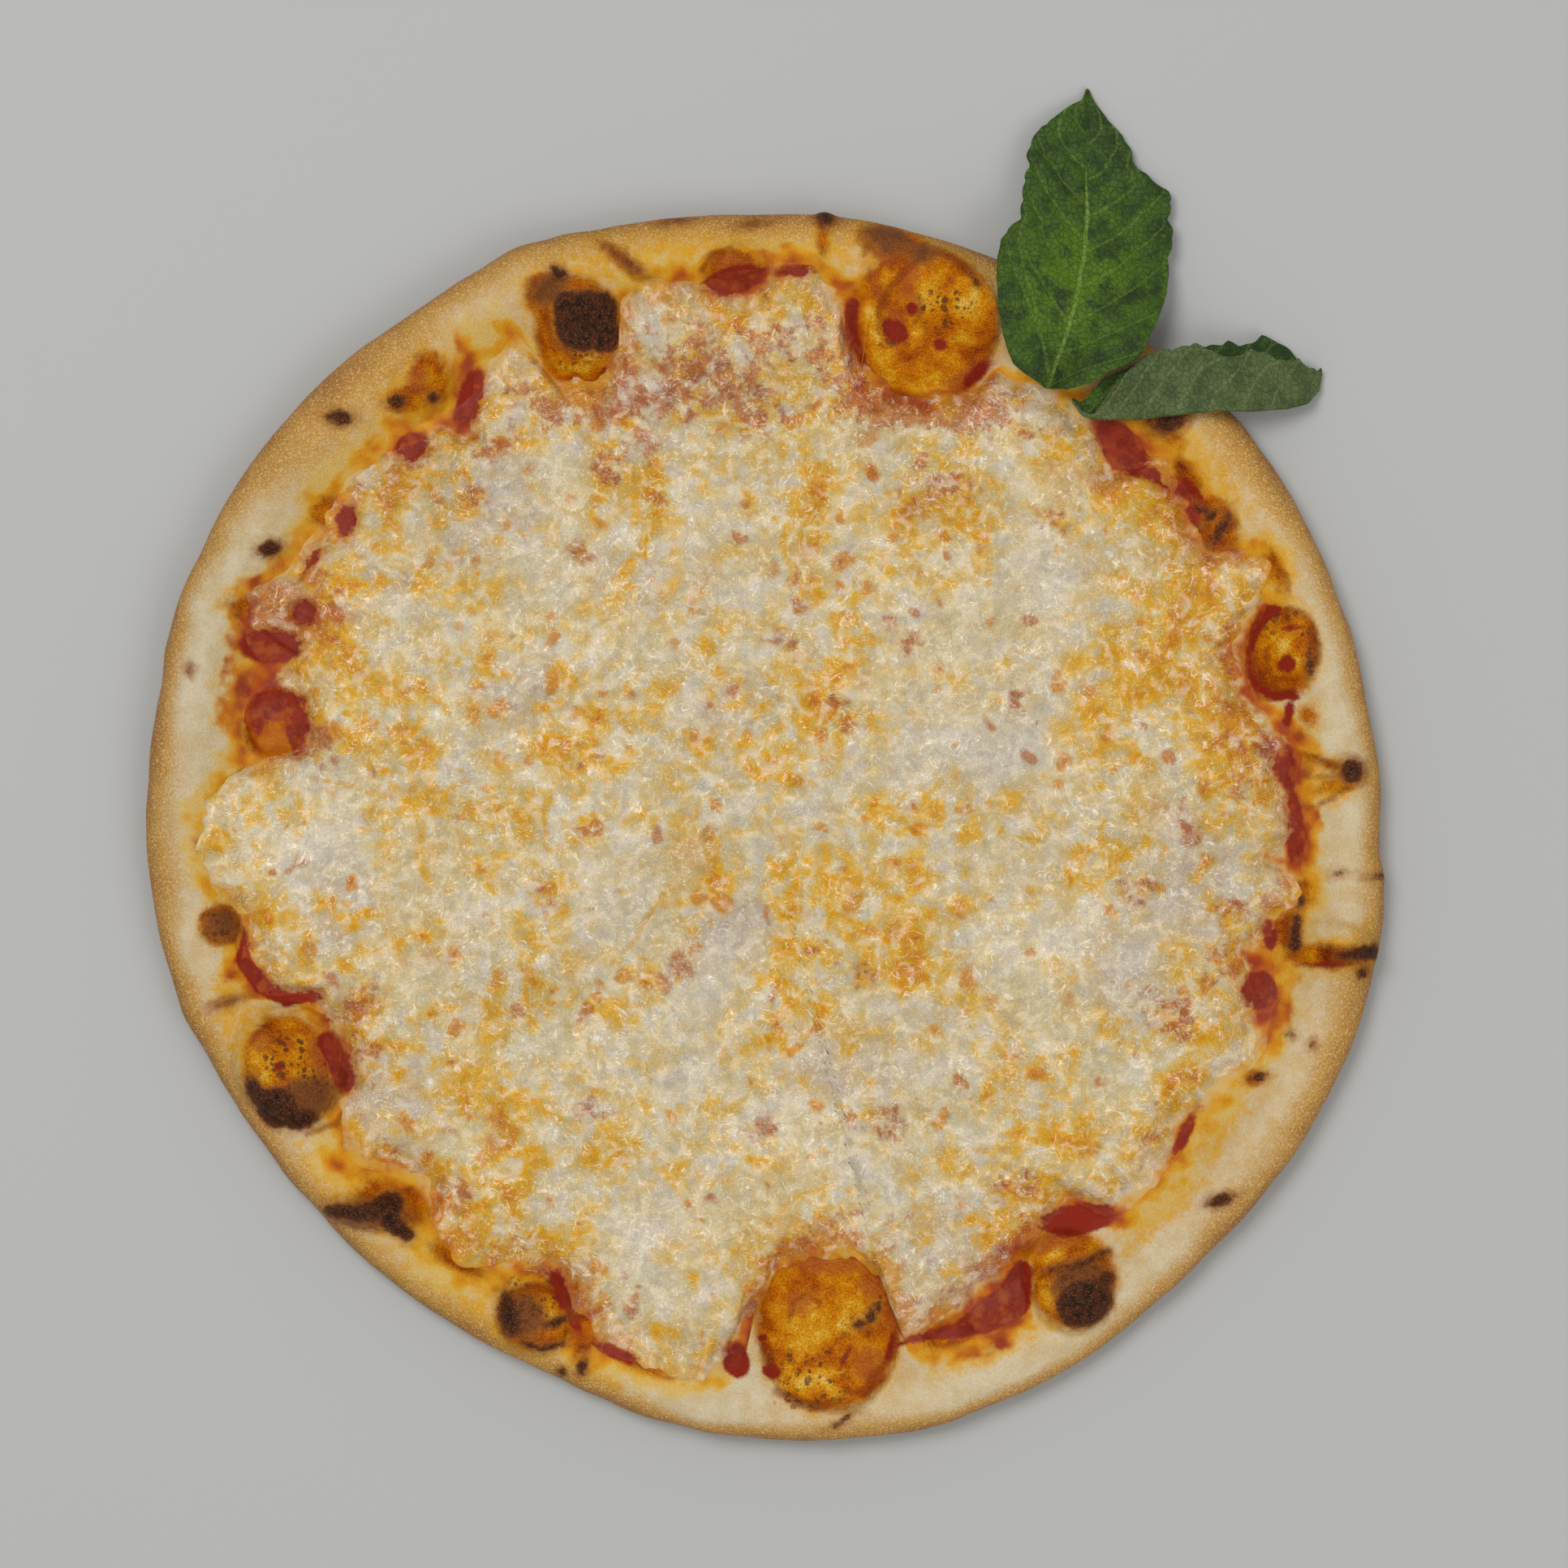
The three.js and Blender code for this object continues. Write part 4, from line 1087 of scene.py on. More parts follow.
def makeDoughMaterial():
    look = doughLook
    material, tree, place = startMaterial("bakedDough")
    inward = attribute(tree, "inward")
    middling, patchy, fine, grain = noises(tree, place, look, "middling", "patchy", "fine", "grain")

    # pale in the middle of the rim, golden towards the edge, brown where it turns under
    color = mixed(tree, stepped(tree, middling, *look["creamRange"]), look["cream"], look["creamShade"])
    gilt = ragged(tree, place, less(tree, attribute(tree, "gilt"), look["giltGrowth"]), *look["giltEdge"])
    yellowing = product(tree, attribute(tree, "rimOil"), stepped(tree, patchy, *look["yellowRange"]))
    yellowing = most(tree, yellowing, product(tree, gilt, stepped(tree, patchy, *look["giltRange"])))
    color = mixed(tree, yellowing, color, look["yellow"])
    waver = swing(tree, noise(tree, place, *look["waver"]), look["waverGain"])
    waver = total(tree, waver, swing(tree, fine, look["fineGain"]))
    depth = total(tree, attribute(tree, "band"), waver)
    color = mixed(tree, stepped(tree, depth, *look["goldenRange"]), color, look["golden"])
    color = mixed(tree, stepped(tree, depth, *look["brownRange"]), color, look["brownEdge"])
    band = stepped(tree, depth, *look["bandRange"])
    # painted highlights: small bright grains on the golden band
    sparkleHighlight = product(tree, stepped(tree, grain, *look["sparkleHighlightRange"]), band)
    color = mixed(tree, sparkleHighlight, color, look["sparkleHighlight"])
    color = mixed(tree, stepped(tree, inward, *look["underRange"]), color, look["underside"])

    # oil from the toppings, yellow where it is thin
    oil = attribute(tree, "stain")
    oil = total(tree, oil, swing(tree, noise(tree, place, *look["oil"]), look["oilGain"]))
    color = mixed(tree, stepped(tree, oil, *look["thinOilRange"]), color, look["paleYellow"])
    rich = total(tree, attribute(tree, "rich"), stepped(tree, oil, *look["richRange"]))
    color = mixed(tree, stepped(tree, oil, *look["oilRange"]), color, stain(tree, place, rich))
    skirt = less(tree, attribute(tree, "amber"), look["skirtGrowth"])
    skirt = ragged(tree, place, skirt, *look["skirtEdge"])
    color = mixed(tree, product(tree, skirt, look["skirtAmount"]), color, look["yellow"])
    color, dome, line, charred = paintBubbles(tree, place, color)

    # the fine grain of the baked skin
    rough = most(tree, band, most(tree, product(tree, dome, look["domeGrain"]), charred))
    low = less(tree, look["grainLow"], product(tree, rough, look["grainDepth"]))
    shade = stepped(tree, grain, *look["grainRange"], low, look["grainHigh"])
    color = shaded(tree, color, product(tree, shade, attribute(tree, "rimShade")))
    height = total(tree, product(tree, grain, total(tree, rough, look["grainLift"])), patchy)
    height = less(tree, height, product(tree, line, look["foldDepth"]))
    finishMaterial(tree, look, color, height)
    return material


def makeDough():
    angle = np.arange(dough["rays"]) * turnOnce / dough["rays"]
    edge = around(edgeReach, angle)
    inside = edge - dough["shoulder"]
    crest = rimHeight(angle, inside)
    rings = []
    inwards = []

    def ring(reach, height, inward):
        rings.append(ringPoints(angle, reach, height))
        inwards.append(np.broadcast_to(inward, angle.shape))

    for share in dough["bottomShares"]:
        ring((edge - dough["tuck"]) * share, 0, dough["under"])
    for n in range(dough["tuckRings"] + 1):
        turn = math.radians(90 * n / dough["tuckRings"])
        out = edge - dough["tuck"] * (1 - math.sin(turn))
        inward = -dough["tuckStep"] * (dough["tuckRings"] - n)
        ring(out, dough["edgeHeight"] * (1 - math.cos(turn)), inward)
    for n in range(dough["shoulderRings"], 0, -1):
        turn = math.radians(90 * n / (dough["shoulderRings"] + 1))
        reach = inside + dough["shoulder"] * math.sin(turn)
        bump = blisterHeight(*fromPolar(angle, reach))
        ring(reach, blend(dough["edgeHeight"], crest, math.cos(turn)) + bump, edge - reach)
    for n in range(dough["slopeRings"], -1, -1):
        reach = blend(dough["innerReach"], inside, n / dough["slopeRings"])
        ring(reach, doughHeight(angle, reach), edge - reach)
    for reach in dough["floorReaches"]:
        ring(reach, dough["floor"], dough["middle"])
    points, faces = closedRings(rings, 0, dough["floor"])
    inward = np.concatenate(inwards + [[dough["under"], dough["middle"]]])

    # small unevenness on top, and a slow swell round the side
    x, y, z = points.T
    lift = rise(z, *dough["unevenHeight"]) * rise(inward, *dough["unevenInward"])
    points[:, 2] += dough["roughness"] * clouds(x, y, dough["uneven"]) * lift
    fromMiddle = np.abs(z - dough["swellMiddle"])
    swell = clouds(x, y + 3 * z, dough["swell"]) * rise(fromMiddle, *dough["swellReach"])
    swell = swell * (z > dough["swellFoot"])
    nearEdge = (inward < dough["shoulder"]) * (inward > -dough["shoulder"])
    points[:, :2] *= (1 + swell / np.maximum(np.hypot(x, y), 1) * nearEdge)[:, None]

    polar = np.arctan2(y, x)
    reach = np.hypot(x, y)
    creep = (reach - np.maximum(sauceEdge(polar), cheeseEdge(polar))) / (around(oilWidth, polar) + 1)
    above = z > dough["upperSide"]
    fields = crustFields(x, y, above)
    fields["inward"] = inward
    band = np.maximum(inward, 0) / around(goldWidth, polar)
    fields["band"] = np.where(above, band, dough["sideBand"])
    fields["rimOil"] = around(rimOil, polar) * rise(z, *dough["oilHeight"])
    fields["rimShade"] = around(rimShade, polar)
    gain = dough["stainGain"]
    lowest, highest = dough["stainLimits"]
    fields["stain"] = np.where(above, np.clip(gain - gain * creep, lowest, highest), lowest)
    fields["gilt"] = np.where(above, spotDistance(x, y, goldSpots), farAway)
    makePiece("bakedCrust", points, faces, makeDoughMaterial(), "dough_crust", fields)


makeDough()
print("dough done")


# the sauce

sauceLook = {
    "red": tint(142, 48, 28),
    "deep": tint(120, 36, 22),
    "bright": tint(168, 76, 32),
    "skin": tint(176, 88, 36),
    "thinCheese": tint(204, 168, 108),
    "middling": (4, 4, 0.6),
    "fine": (1.1, 3, 0.6),
    "deepRange": (0.35, 0.65),
    "brightRange": (0.52, 0.7, 0.0, 0.3),
    "blushGrowth": 1.0,
    "blushEdge": (1.2, 2.6, 1.4),
    "blushAmount": 0.6,
    "skinPatches": (6, 3, 0.6),
    "skinRich": -0.1,  # how much less skin there is where the stain is rich
    "skinRange": (0.44, 0.58, 0.0, 0.5),
    "bareEdge": (0.9, 2.6, 0.9),
    "bareRange": (0.0, 1.6),  # how far curds keep from bare sauce
    "domeRange": (-1.0, 2.0),  # and from the domes
    "curdAmount": 0.9,
    "fineHeight": 0.3,
    "roughness": 0.4,
    "specular": 0.1,
    "bumpDepth": 0.25,
}
sauceShape = {
    "rays": 1000,
    "innerReach": 98,
    "steps": 34,
    "middleShares": (0.3, 0.6),
    "lift": 0.3,  # of the underside, over the dough
    "sunk": 0.1,  # how deep the underside's edge lies in the dough
    "edgeRun": 1.2,  # width over which the top comes down
    "edgeShare": 0.2,
    "edgeIn": 0.05,  # how far the top stays behind the underside
}


def makeSauceMaterial():
    look = sauceLook
    material, tree, place = startMaterial("tomatoSauce")
    middling, fine = noises(tree, place, look, "middling", "fine")
    red = mixed(tree, stepped(tree, middling, *look["deepRange"]), look["red"], look["deep"])
    red = mixed(tree, stepped(tree, fine, *look["brightRange"]), red, look["bright"])
    bare = attribute(tree, "bare")
    blush = ragged(tree, place, less(tree, bare, look["blushGrowth"]), *look["blushEdge"])
    color = stain(tree, place, attribute(tree, "rich"))
    color = mixed(tree, product(tree, blush, look["blushAmount"]), color, look["bright"])
    color = paintBubbles(tree, place, color)[0]
    patches = noise(tree, place, *look["skinPatches"])
    skin = total(tree, patches, product(tree, attribute(tree, "rich"), look["skinRich"]))
    red = mixed(tree, stepped(tree, skin, *look["skinRange"]), red, look["skin"])
    color = mixed(tree, ragged(tree, place, bare, *look["bareEdge"]), color, red)

    # curds that strayed over the edge
    stray = curdCover(tree, place, attribute(tree, "beyond"), attribute(tree, "rich"))
    clear = stepped(tree, bare, *look["bareRange"])
    stray = product(tree, stray, clear, stepped(tree, attribute(tree, "amber"), *look["domeRange"]))
    color = mixed(tree, product(tree, stray, look["curdAmount"]), color, look["thinCheese"])
    height = total(tree, middling, product(tree, fine, look["fineHeight"]))
    finishMaterial(tree, look, color, height)
    return material


def makeSauce():
    shape = sauceShape
    lift = shape["lift"]
    steps = shape["steps"]
    inner = shape["innerReach"]
    angle = np.arange(shape["rays"]) * turnOnce / shape["rays"]
    edge = sauceEdge(angle)
    rings = []

    def ring(reach, height):
        rings.append(ringPoints(angle, reach, height + doughHeight(angle, reach)))

    for share in shape["middleShares"]:
        ring(inner * share, lift)
    for n in range(steps + 1):
        ring(blend(inner, edge, n / steps), lift * (1 - smooth(n / steps * 4 - 3)) - shape["sunk"])
    for n in range(steps, -1, -1):
        reach = blend(inner, edge, n / steps)
        taper = smooth((edge - reach) / shape["edgeRun"] + shape["edgeShare"])
        ring(reach - shape["edgeIn"], toppingLift(angle, reach) * taper)
    for share in shape["middleShares"][::-1]:
        ring(inner * share, toppingLift(angle, inner * share))
    points, faces = closedRings(rings, dough["floor"] + lift, dough["floor"] + toppingLift(0, 0))
    x, y, z = points.T
    fields = crustFields(x, y, z > 0)
    fields["bare"] = bareDistance(x, y)
    fields["beyond"] = np.hypot(x, y) - cheeseEdge(np.arctan2(y, x))
    outer = (len(shape["middleShares"]) + steps) * shape["rays"]
    crisp = (outer, outer + 2 * shape["rays"])
    material = makeSauceMaterial()
    makePiece("sauceLayer", points, faces, material, "tomato_sauce", fields, crisp)


makeSauce()
print("sauce done")


# the cheese

cheeseLook = {
    "curd": [
        (0.0, tint(206, 193, 172)), (0.16, tint(206, 190, 158)), (0.32, tint(206, 183, 136)),
        (0.48, tint(207, 174, 104)), (0.62, tint(210, 164, 62)), (0.76, tint(211, 154, 24)),
        (0.9, tint(206, 140, 12)), (1.0, tint(196, 122, 12)),
    ],
    "pool": tint(202, 190, 156),
    "mauve": tint(184, 166, 150),
    "gold": tint(212, 158, 22),
    "orange": tint(200, 130, 10),
    "amber": tint(178, 98, 16),
    "rust": tint(168, 88, 34),
    "blush": tint(204, 146, 60),
    "rosy": tint(182, 106, 54),
    "red": tint(140, 46, 28),
    # pale flecks, partly the curds' own colour and partly painted highlight, and painted glints
    "paleFleckAndHighlight": tint(217, 203, 177),
    "glint": tint(243, 235, 220),
    "smear": (6, 3),  # size and reach
    "broad": (26, 1, 0.9),
    "middling": (8, 1, 0.6),
    "small": (2.8, 1, 0.5),
    "curds": (2.8, 4, 0.62),
    "fine": (1.1, 3, 0.65),
    "grain": (0.5, 2, 0.7),
    "poolEdge": (3.2, 7.0, 3.0),
    "poolCalm": -0.3,
    "poolAmount": 0.45,
    "oilEdge": (2.6, 4.0, 2.4),
    "oilFat": 0.16,
    "oilAmount": 0.42,
    "warmth": 0.4,
    "broadGain": 0.9,
    "rimRange": (20.0, 0.0, 0.0, 0.06),
    "livelyRange": (-0.25, 0.15, 0.4, 1.0),
    "streakGains": (1.8, 0.9),  # of the middling and small noises
    "fat": 0.35,
    "mauveEdge": (4.0, 7.0, 6.0),
    "mauveRange": (0.4, 0.62, 0.2, 0.9),
    "leanRange": (0.75, 0.4),
    "dropShare": 0.28,
    "dropWarmth": 0.9,
    "drops": (0.4, 0.24),  # radius and softness, as for the crumbs
    "dropSize": 6.0,
    "dropAmount": 0.85,
    "crumbs": (0.42, 0.3),
    "crumbSize": 3.6,
    "crumbAmount": 0.65,
    "marks": (5.0, 3, 0.7),
    "rosyZone": 0.8,
    "rosyGain": 6.0,
    "rosyRange": (0.3, 1.3),
    "rosyLimitRange": (0.05, 0.5, 0.0, 0.85),
    "reddishRange": (0.4, 0.6),
    "creaseEdge": (0.7, 3.0, 0.8),
    "creaseAmount": 0.9,
    "rustEdge": (3.0, 3.0, 2.2),
    "rustRange": (0.38, 0.56, 0.15, 0.9),
    "browned": (9.0, 0.45, 0.24, 0.16),
    "brownedAmount": 0.75,
    "specks": (6.0, 0.3, 0.14, 0.1),
    "speckAmount": 0.6,
    "seamGains": (20.0, 14.0, 5.0),  # of the middling, small and fine noises
    "seamRange": (8.0, 0.0, 0.0, 0.6),
    "skirtGrowth": 3.4,
    "skirtEdge": (3.6, 4.6, 3.0),
    "skirtAmount": 0.85,
    "soakAmount": 0.9,
    "blushGrowth": 1.0,
    "blushEdge": (1.8, 2.6, 1.2),
    "blushAmount": 0.5,
    "bareEdge": (0.9, 2.2, 0.6),
    "bareRange": (0.0, 1.5),
    # a noise painted as light and shade of the curds' relief, with pale flecks and painted highlights where
    # it is high
    "paintedReliefBend": (7, 9),
    "paintedRelief": (3.4, 1, 0.5),
    "paleFleckHighlightRange": (0.52, 0.72, 0.0, 0.5),
    "paleFleckHighlightRosyRange": (0.2, 0.8, 1.0, 0.4),
    # [turn, length, gap, amount] of the strands of painted highlight
    "highlightStrands": [
        [20, 5, 1, 0.5], [75, 4, 0.9, 0.48], [130, 6, 1.2, 0.5], [165, 3.4, 0.9, 0.47], [45, 9, 2.4, 0.44],
    ],
    "dryRange": (0.0, 2.0),
    "litRange": (0.38, 0.58, 0.1, 1.0),
    "litAmount": 0.55,
    "litShade": 0.2,
    "glintDotRange": (0.58, 0.72, 0.0, 0.3),
    "grainRange": (0.3, 0.7, 0.9, 1.07),
    "curdShadeRange": (0.3, 0.6, 0.88, 1.04),
    "paintedReliefRange": (0.34, 0.64, 0.91, 1.06),
    "dullRange": (-0.8, 1.2, 1.06, 0.84),
    "clouding": (12, 2, 0.8),
    "cloudingRange": (0.32, 0.68, 0.92, 1.07),
    "fineHeight": 0.6,
    "grainHeight": 0.25,
    "roughness": 0.32,
    "specular": 0.14,
    "bumpDepth": 0.5,
}
cheeseShape = {
    "steps": 166,
    "sides": 6,
    "thickness": 2.5,
    "thinEdge": 0.02,  # thickness at the edge, as a share
    "thinBare": 0.12,  # and over bare sauce
    "edgeSlope": 9,
    "bareSlope": 2.5,
    "bareStart": 0.3,
    "lift": 0.3,
    "liftSlope": 5,
    "lumps": 0.45,
    "lumpSlope": 4,
    "lumpLayers": [[0.6, 13, 41], [0.55, 6.5, 42], [0.5, 2.6, 43]],
    "underShares": (1.0, 0.97, 0.93, 0.86, 0.78, 0.4),
    "underSunk": 0.06,  # how deep the underside lies in the sauce
    "middleSunk": 0.1,  # and in the middle
}

# where fat has melted out, and where it hasn't: [x, y, half length, half width, turn, strength]
warmZones = [
    [-8, 109, 26, 11, 0, 0.6], [22, 108, 9, 9, 0, 0.5], [104, 58, 16, 30, 10, 1],
    [95, 36, 12, 8, 0, 0.6], [116, 20, 10, 14, 0, 0.9], [76, 88, 14, 9, 0, 0.8],
    [96, 80, 14, 12, 0, 0.5], [12, 84, 9, 12, 0, 0.8], [46, 78, 10, 7, 0, 0.6], [-33, 87, 9, 8, 0, 0.7],
    [-89, 78, 14, 12, 30, 0.7], [-72, 76, 10, 8, 0, 0.4], [-108, 40, 8, 14, 0, 0.9],
    [-92, 24, 10, 10, 0, 0.5], [-84, 8, 6, 16, 10, 0.6], [-56, 22, 20, 6, 10, 0.3],
    [-29, 32, 8, 10, 0, 0.4], [16, 36, 8, 12, 0, 0.6], [8, 60, 6, 14, 0, 0.5], [-18, -8, 9, 8, 0, 1],
    [-60, -42, 13, 8, 20, 0.9], [-63, -76, 8, 10, 0, 0.8], [-86, -46, 12, 30, 20, 0.45],
    [-9, -50, 8, 6, 0, 0.6], [30, -32, 16, 10, 0, 0.55], [24, -14, 10, 8, 0, 0.35],
    [-66, -104, 24, 10, 330, 1], [-98, -88, 14, 8, 320, 0.9], [-40, -84, 10, 14, 0, 0.3],
    [76, -78, 12, 10, 0, 0.6], [58, -94, 12, 6, 20, 0.8], [110, -50, 6, 14, 340, 0.6],
    [100, -64, 8, 12, 330, 0.6], [118, 0, 8, 10, 0, 0.6], [0, -100, 10, 6, 0, 0.4],
    [75, 62, 12, 8, 0, -0.5], [55, 22, 14, 12, 0, -0.7], [30, 16, 8, 8, 0, -0.5],
    [-112, -8, 16, 12, 0, -0.7], [-60, -16, 14, 8, 0, -0.4], [15, -76, 16, 12, 0, -0.7],
    [38, -64, 12, 8, 0, -0.6], [66, -28, 16, 14, 0, -0.7], [88, -34, 8, 10, 0, -0.5],
    [-17, -34, 8, 12, 0, -0.5], [-30, -104, 14, 14, 0, -0.6], [-20, 76, 10, 14, 0, -0.5],
    [-52, 62, 12, 8, 0, -0.3], [34, 92, 8, 6, 0, -0.4],
]
# duller places, and brighter ones below zero
dullZones = [
    [-20, -14, 12, 14, 30, 0.5], [-61, -40, 14, 8, 0, 0.5], [-82, 80, 14, 10, 0, 0.6],
    [-33, 88, 8, 6, 0, 0.6], [-13, 110, 24, 10, 0, 1.1], [40, 80, 12, 6, 0, 0.6],
    [94, 46, 12, 18, 0, 0.1], [30, -72, 5, 4, 0, 0.7], [110, -4, 10, 20, 0, 0.6],
    [-72, 92, 14, 8, 30, 0.6], [34, 94, 5, 4, 0, 0.5], [31, 68, 12, 9, 0, -0.5],
    [51, 40, 12, 8, 0, -0.4], [67, -26, 14, 9, 0, -0.6], [11, -80, 16, 9, 0, -0.5],
    [-29, -100, 10, 9, 0, -0.4], [-115, 2, 12, 9, 0, -0.5],
]
# reddish curds, where sauce has mixed in
rosyZones = [
    [-24, 113, 15, 13, 10, 1], [-2, 110, 16, 13, 350, 0.9], [6, 122, 12, 7, 0, 0.7],
    [22, 110, 8, 10, 0, 1.1], [-34, 92, 12, 8, 0, 0.4], [40, 80, 12, 8, 0, 0.4],
    [-70, 92, 12, 8, 40, 0.5], [-50, 104, 9, 6, 20, 0.8], [-86, 92, 10, 6, 40, 0.6],
    [-108, 54, 7, 8, 0, 0.6], [-98, -56, 5, 9, 10, 0.7], [-90, -84, 10, 5, 315, 0.8],
    [-58, -104, 8, 5, 340, 0.6], [36, -100, 6, 9, 30, 0.5], [60, -104, 12, 5, 25, 0.7],
    [94, -76, 8, 5, 45, 0.4], [113, -36, 7, 9, 0, 0.9], [118, 14, 5, 12, 0, 0.6],
    [112, 30, 5, 5, 0, 0.4], [56, 104, 12, 5, 325, 1.6], [40, 102, 14, 3.6, 352, 2.2],
    [26, 108, 5, 5, 20, 1.6], [-45, 108, 9, 3.4, 15, 1.6], [115, 43, 3, 9, 10, 1.2],
    [-111, 22, 4, 9, 0, 0.9], [100, 72, 5, 8, 30, 0.4],
]

# smooth milky pools
poolSpots = [
    [67, -44, 13, 8, 150], [47, 48, 12, 6, 20], [61, 52, 9, 5, 0], [-85, -12, 14, 9, 60],
    [-88, -36, 9, 6, 0], [-3, -92, 15, 8, 10], [-49, 86, 9, 5, 30], [72, 84, 10, 6, 10],
    [20, 96, 7, 5, 0], [-30, 44, 9, 5, 150], [-60, 52, 8, 5, 30], [27, 34, 7, 5, 0],
    [84, -64, 9, 6, 120], [-20, -8, 9, 5, 40], [-52, -54, 8, 5, 20], [34, -76, 7, 5, 100],
    [96, 10, 7, 5, 0], [-104, 8, 7, 5, 90], [8, 66, 8, 4, 0], [56, -12, 7, 4, 160],
    [-30, -112, 8, 5, 0], [-74, -76, 6, 4, 0], [92, 66, 6, 4, 0], [-86, 70, 6, 4, 30],
]
# pools of orange oil
oilSpots = [
    [-38.8, 87, 6, 4.6, 160], [-104, 40, 5.6, 8, 20], [-106, 48, 8, 5, 0], [-84.8, -10, 1.4, 6.4, 10],
    [-17, -6, 6, 5, 0], [-23, -12, 4, 3, 0], [86, 32, 10, 6, 10], [98, 37, 7, 5, 0], [73, 24, 4, 4, 0],
    [95, 6, 6, 5, 0], [63, 50, 3, 2.6, 0], [-16, 60, 2.6, 3, 0], [9, 79, 3, 5, 60],
    [43, 80, 6, 2.6, 10], [-67, -50, 3, 3, 0], [-72, -62, 5, 7, 20], [102, -30, 6, 4, 150],
    [88, -6, 4, 3, 0], [-10, 68, 3, 2, 0], [12, 36, 3, 2.4, 0], [104, 54, 5, 4, 0], [112, 22, 4, 4, 0],
    [60, 6, 4, 3, 0], [-60, 96, 4, 3, 40], [-90, 84, 4, 3, 0], [-46, -34, 4, 2.4, 60],
    [-20, -32, 3, 5, 150], [4, -34, 4, 3, 0], [36, -30, 5, 3, 20], [20, -50, 4, 3, 0],
    [58, -60, 4, 3, 0], [-40, -80, 4, 3, 0], [-84, -74, 4, 3, 30], [100, -50, 4, 3, 0],
    [40, -96, 3, 4, 0], [-24, -104, 4, 3, 30], [-96, 20, 4, 3, 0], [-70, 30, 5, 2, 160],
    [-52, 20, 3, 2, 0], [84, 62, 4, 3, 0], [92, 76, 4, 3, 0], [-62, -88, 4, 3, 0], [-52, -104, 4, 3, 0],
    [66, -86, 4, 3, 0], [2, 108, 4, 2.4, 0], [109.9, 14.4, 3, 2.4, 0], [113.3, 52.7, 2.4, 2.2, 0],
    [110.3, 36.6, 2.4, 1.4, 0], [116.4, 27.4, 1.4, 1.8, 0], [-4, -101, 5, 3, 60], [88, 46, 6, 5, 0],
    [76, 40, 4, 4, 0], [-97, -81, 4, 2.4, 320], [-102.5, -74, 3, 4, 30],
]
# browned, reddish places
rustSpots = [
    [-38.8, 87.6, 4, 3, 160], [-65.4, 94.4, 2.6, 2.2, 0], [-72, 82, 2.4, 2.2, 0], [-110.8, 64, 2, 3, 0],
    [-53.8, -16, 2.4, 2, 0], [-21.6, -34, 2.6, 2.2, 0], [4, 46, 2, 1.6, 0], [35, 46, 2, 1.8, 0],
    [17, 30, 3, 3, 0], [61, 32, 2, 2.6, 0], [24.2, -36, 2, 1.8, 0], [29.2, -73, 4.6, 4.4, 0],
    [-0.8, -74, 3.4, 2.8, 0], [-100, -44, 3, 6, 160], [100, -46, 7, 5, 140], [43, 84, 8, 3, 10],
    [-104, 84, 4, 5, 0], [-60, 108, 4, 3, 0], [-34, 104, 7, 3, 10], [-20, 110, 4, 3, 0],
    [70, 76, 3, 2, 0], [92, -16, 4, 3, 0], [104, 0, 3, 4, 0], [-78, -90, 5, 4, 0], [-90, -86, 4, 3, 0],
    [-44, -70, 3, 2, 0], [8, 58, 2, 4, 0], [-46, 68, 3, 2, 0], [114, -20, 4, 3, 0], [62, -88, 5, 3, 10],
    [16, -98, 3, 2, 0], [-92, 96, 4, 2, 40], [120.6, 15.1, 2, 1.6, 0], [122.5, 22.8, 1.6, 1.6, 0],
    [116.4, 9, 1.6, 1, 0], [-101.7, -54, 1.6, 3, 0],
]
mauveSpots = [
    [104, -12, 12, 14, 0], [88, -36, 8, 10, 20], [-70, 80, 16, 12, 30], [-30, 100, 14, 7, 10],
    [-100, 60, 10, 8, 30], [-60, 34, 10, 8, 0], [-6, -24, 12, 8, 20], [20, -60, 12, 8, 0],
    [-104, -20, 8, 10, 0], [-92, -64, 8, 8, 0], [50, -100, 14, 7, 10], [-10, 30, 10, 7, 0],
    [70, 104, 8, 5, 0], [112, 40, 6, 10, 0], [-30, 62, 10, 6, 0],
]
creaseStrokes = [
    [[-54, -4, 0.6], [-55, 4, 0.7], [-52, 12, 0.4], [-44, 14.4, 0.9], [-36, 17, 0.8], [-28, 20, 0.3]],
    [[-84.6, 1, 0.4], [-85.6, -8, 1], [-83, -14, 0.8]],
    [[-73, 12, 0.3], [-80, 8.4, 0.8], [-88, 6.4, 0.5], [-102, 10, 0.4], [-112, 12.4, 0.3]],
    [[-58, -30, 0.3], [-60, -42, 0.5], [-66, -56, 0.4], [-72, -68, 0.4]],
    [[-38, -34, 0.3], [-34, -30, 0.4], [-24, -14, 0.4]],
    [[-34, 36, 0.4], [-36, 28, 0.6], [-33, 22, 0.4]],
    [[-2, -100, 0.5], [6, -92, 0.4], [16, -88, 0.4], [22, -90, 0.6]],
    [[7, 62, 0.6], [4, 70, 0.8], [6, 78, 0.5]],
    [[-131, 3, 0.3], [-132, 10, 0.5], [-124, 15, 0.4]],
    [[-116, -22, 0.3], [-120, -30, 0.5], [-112, -36, 0.3]],
]


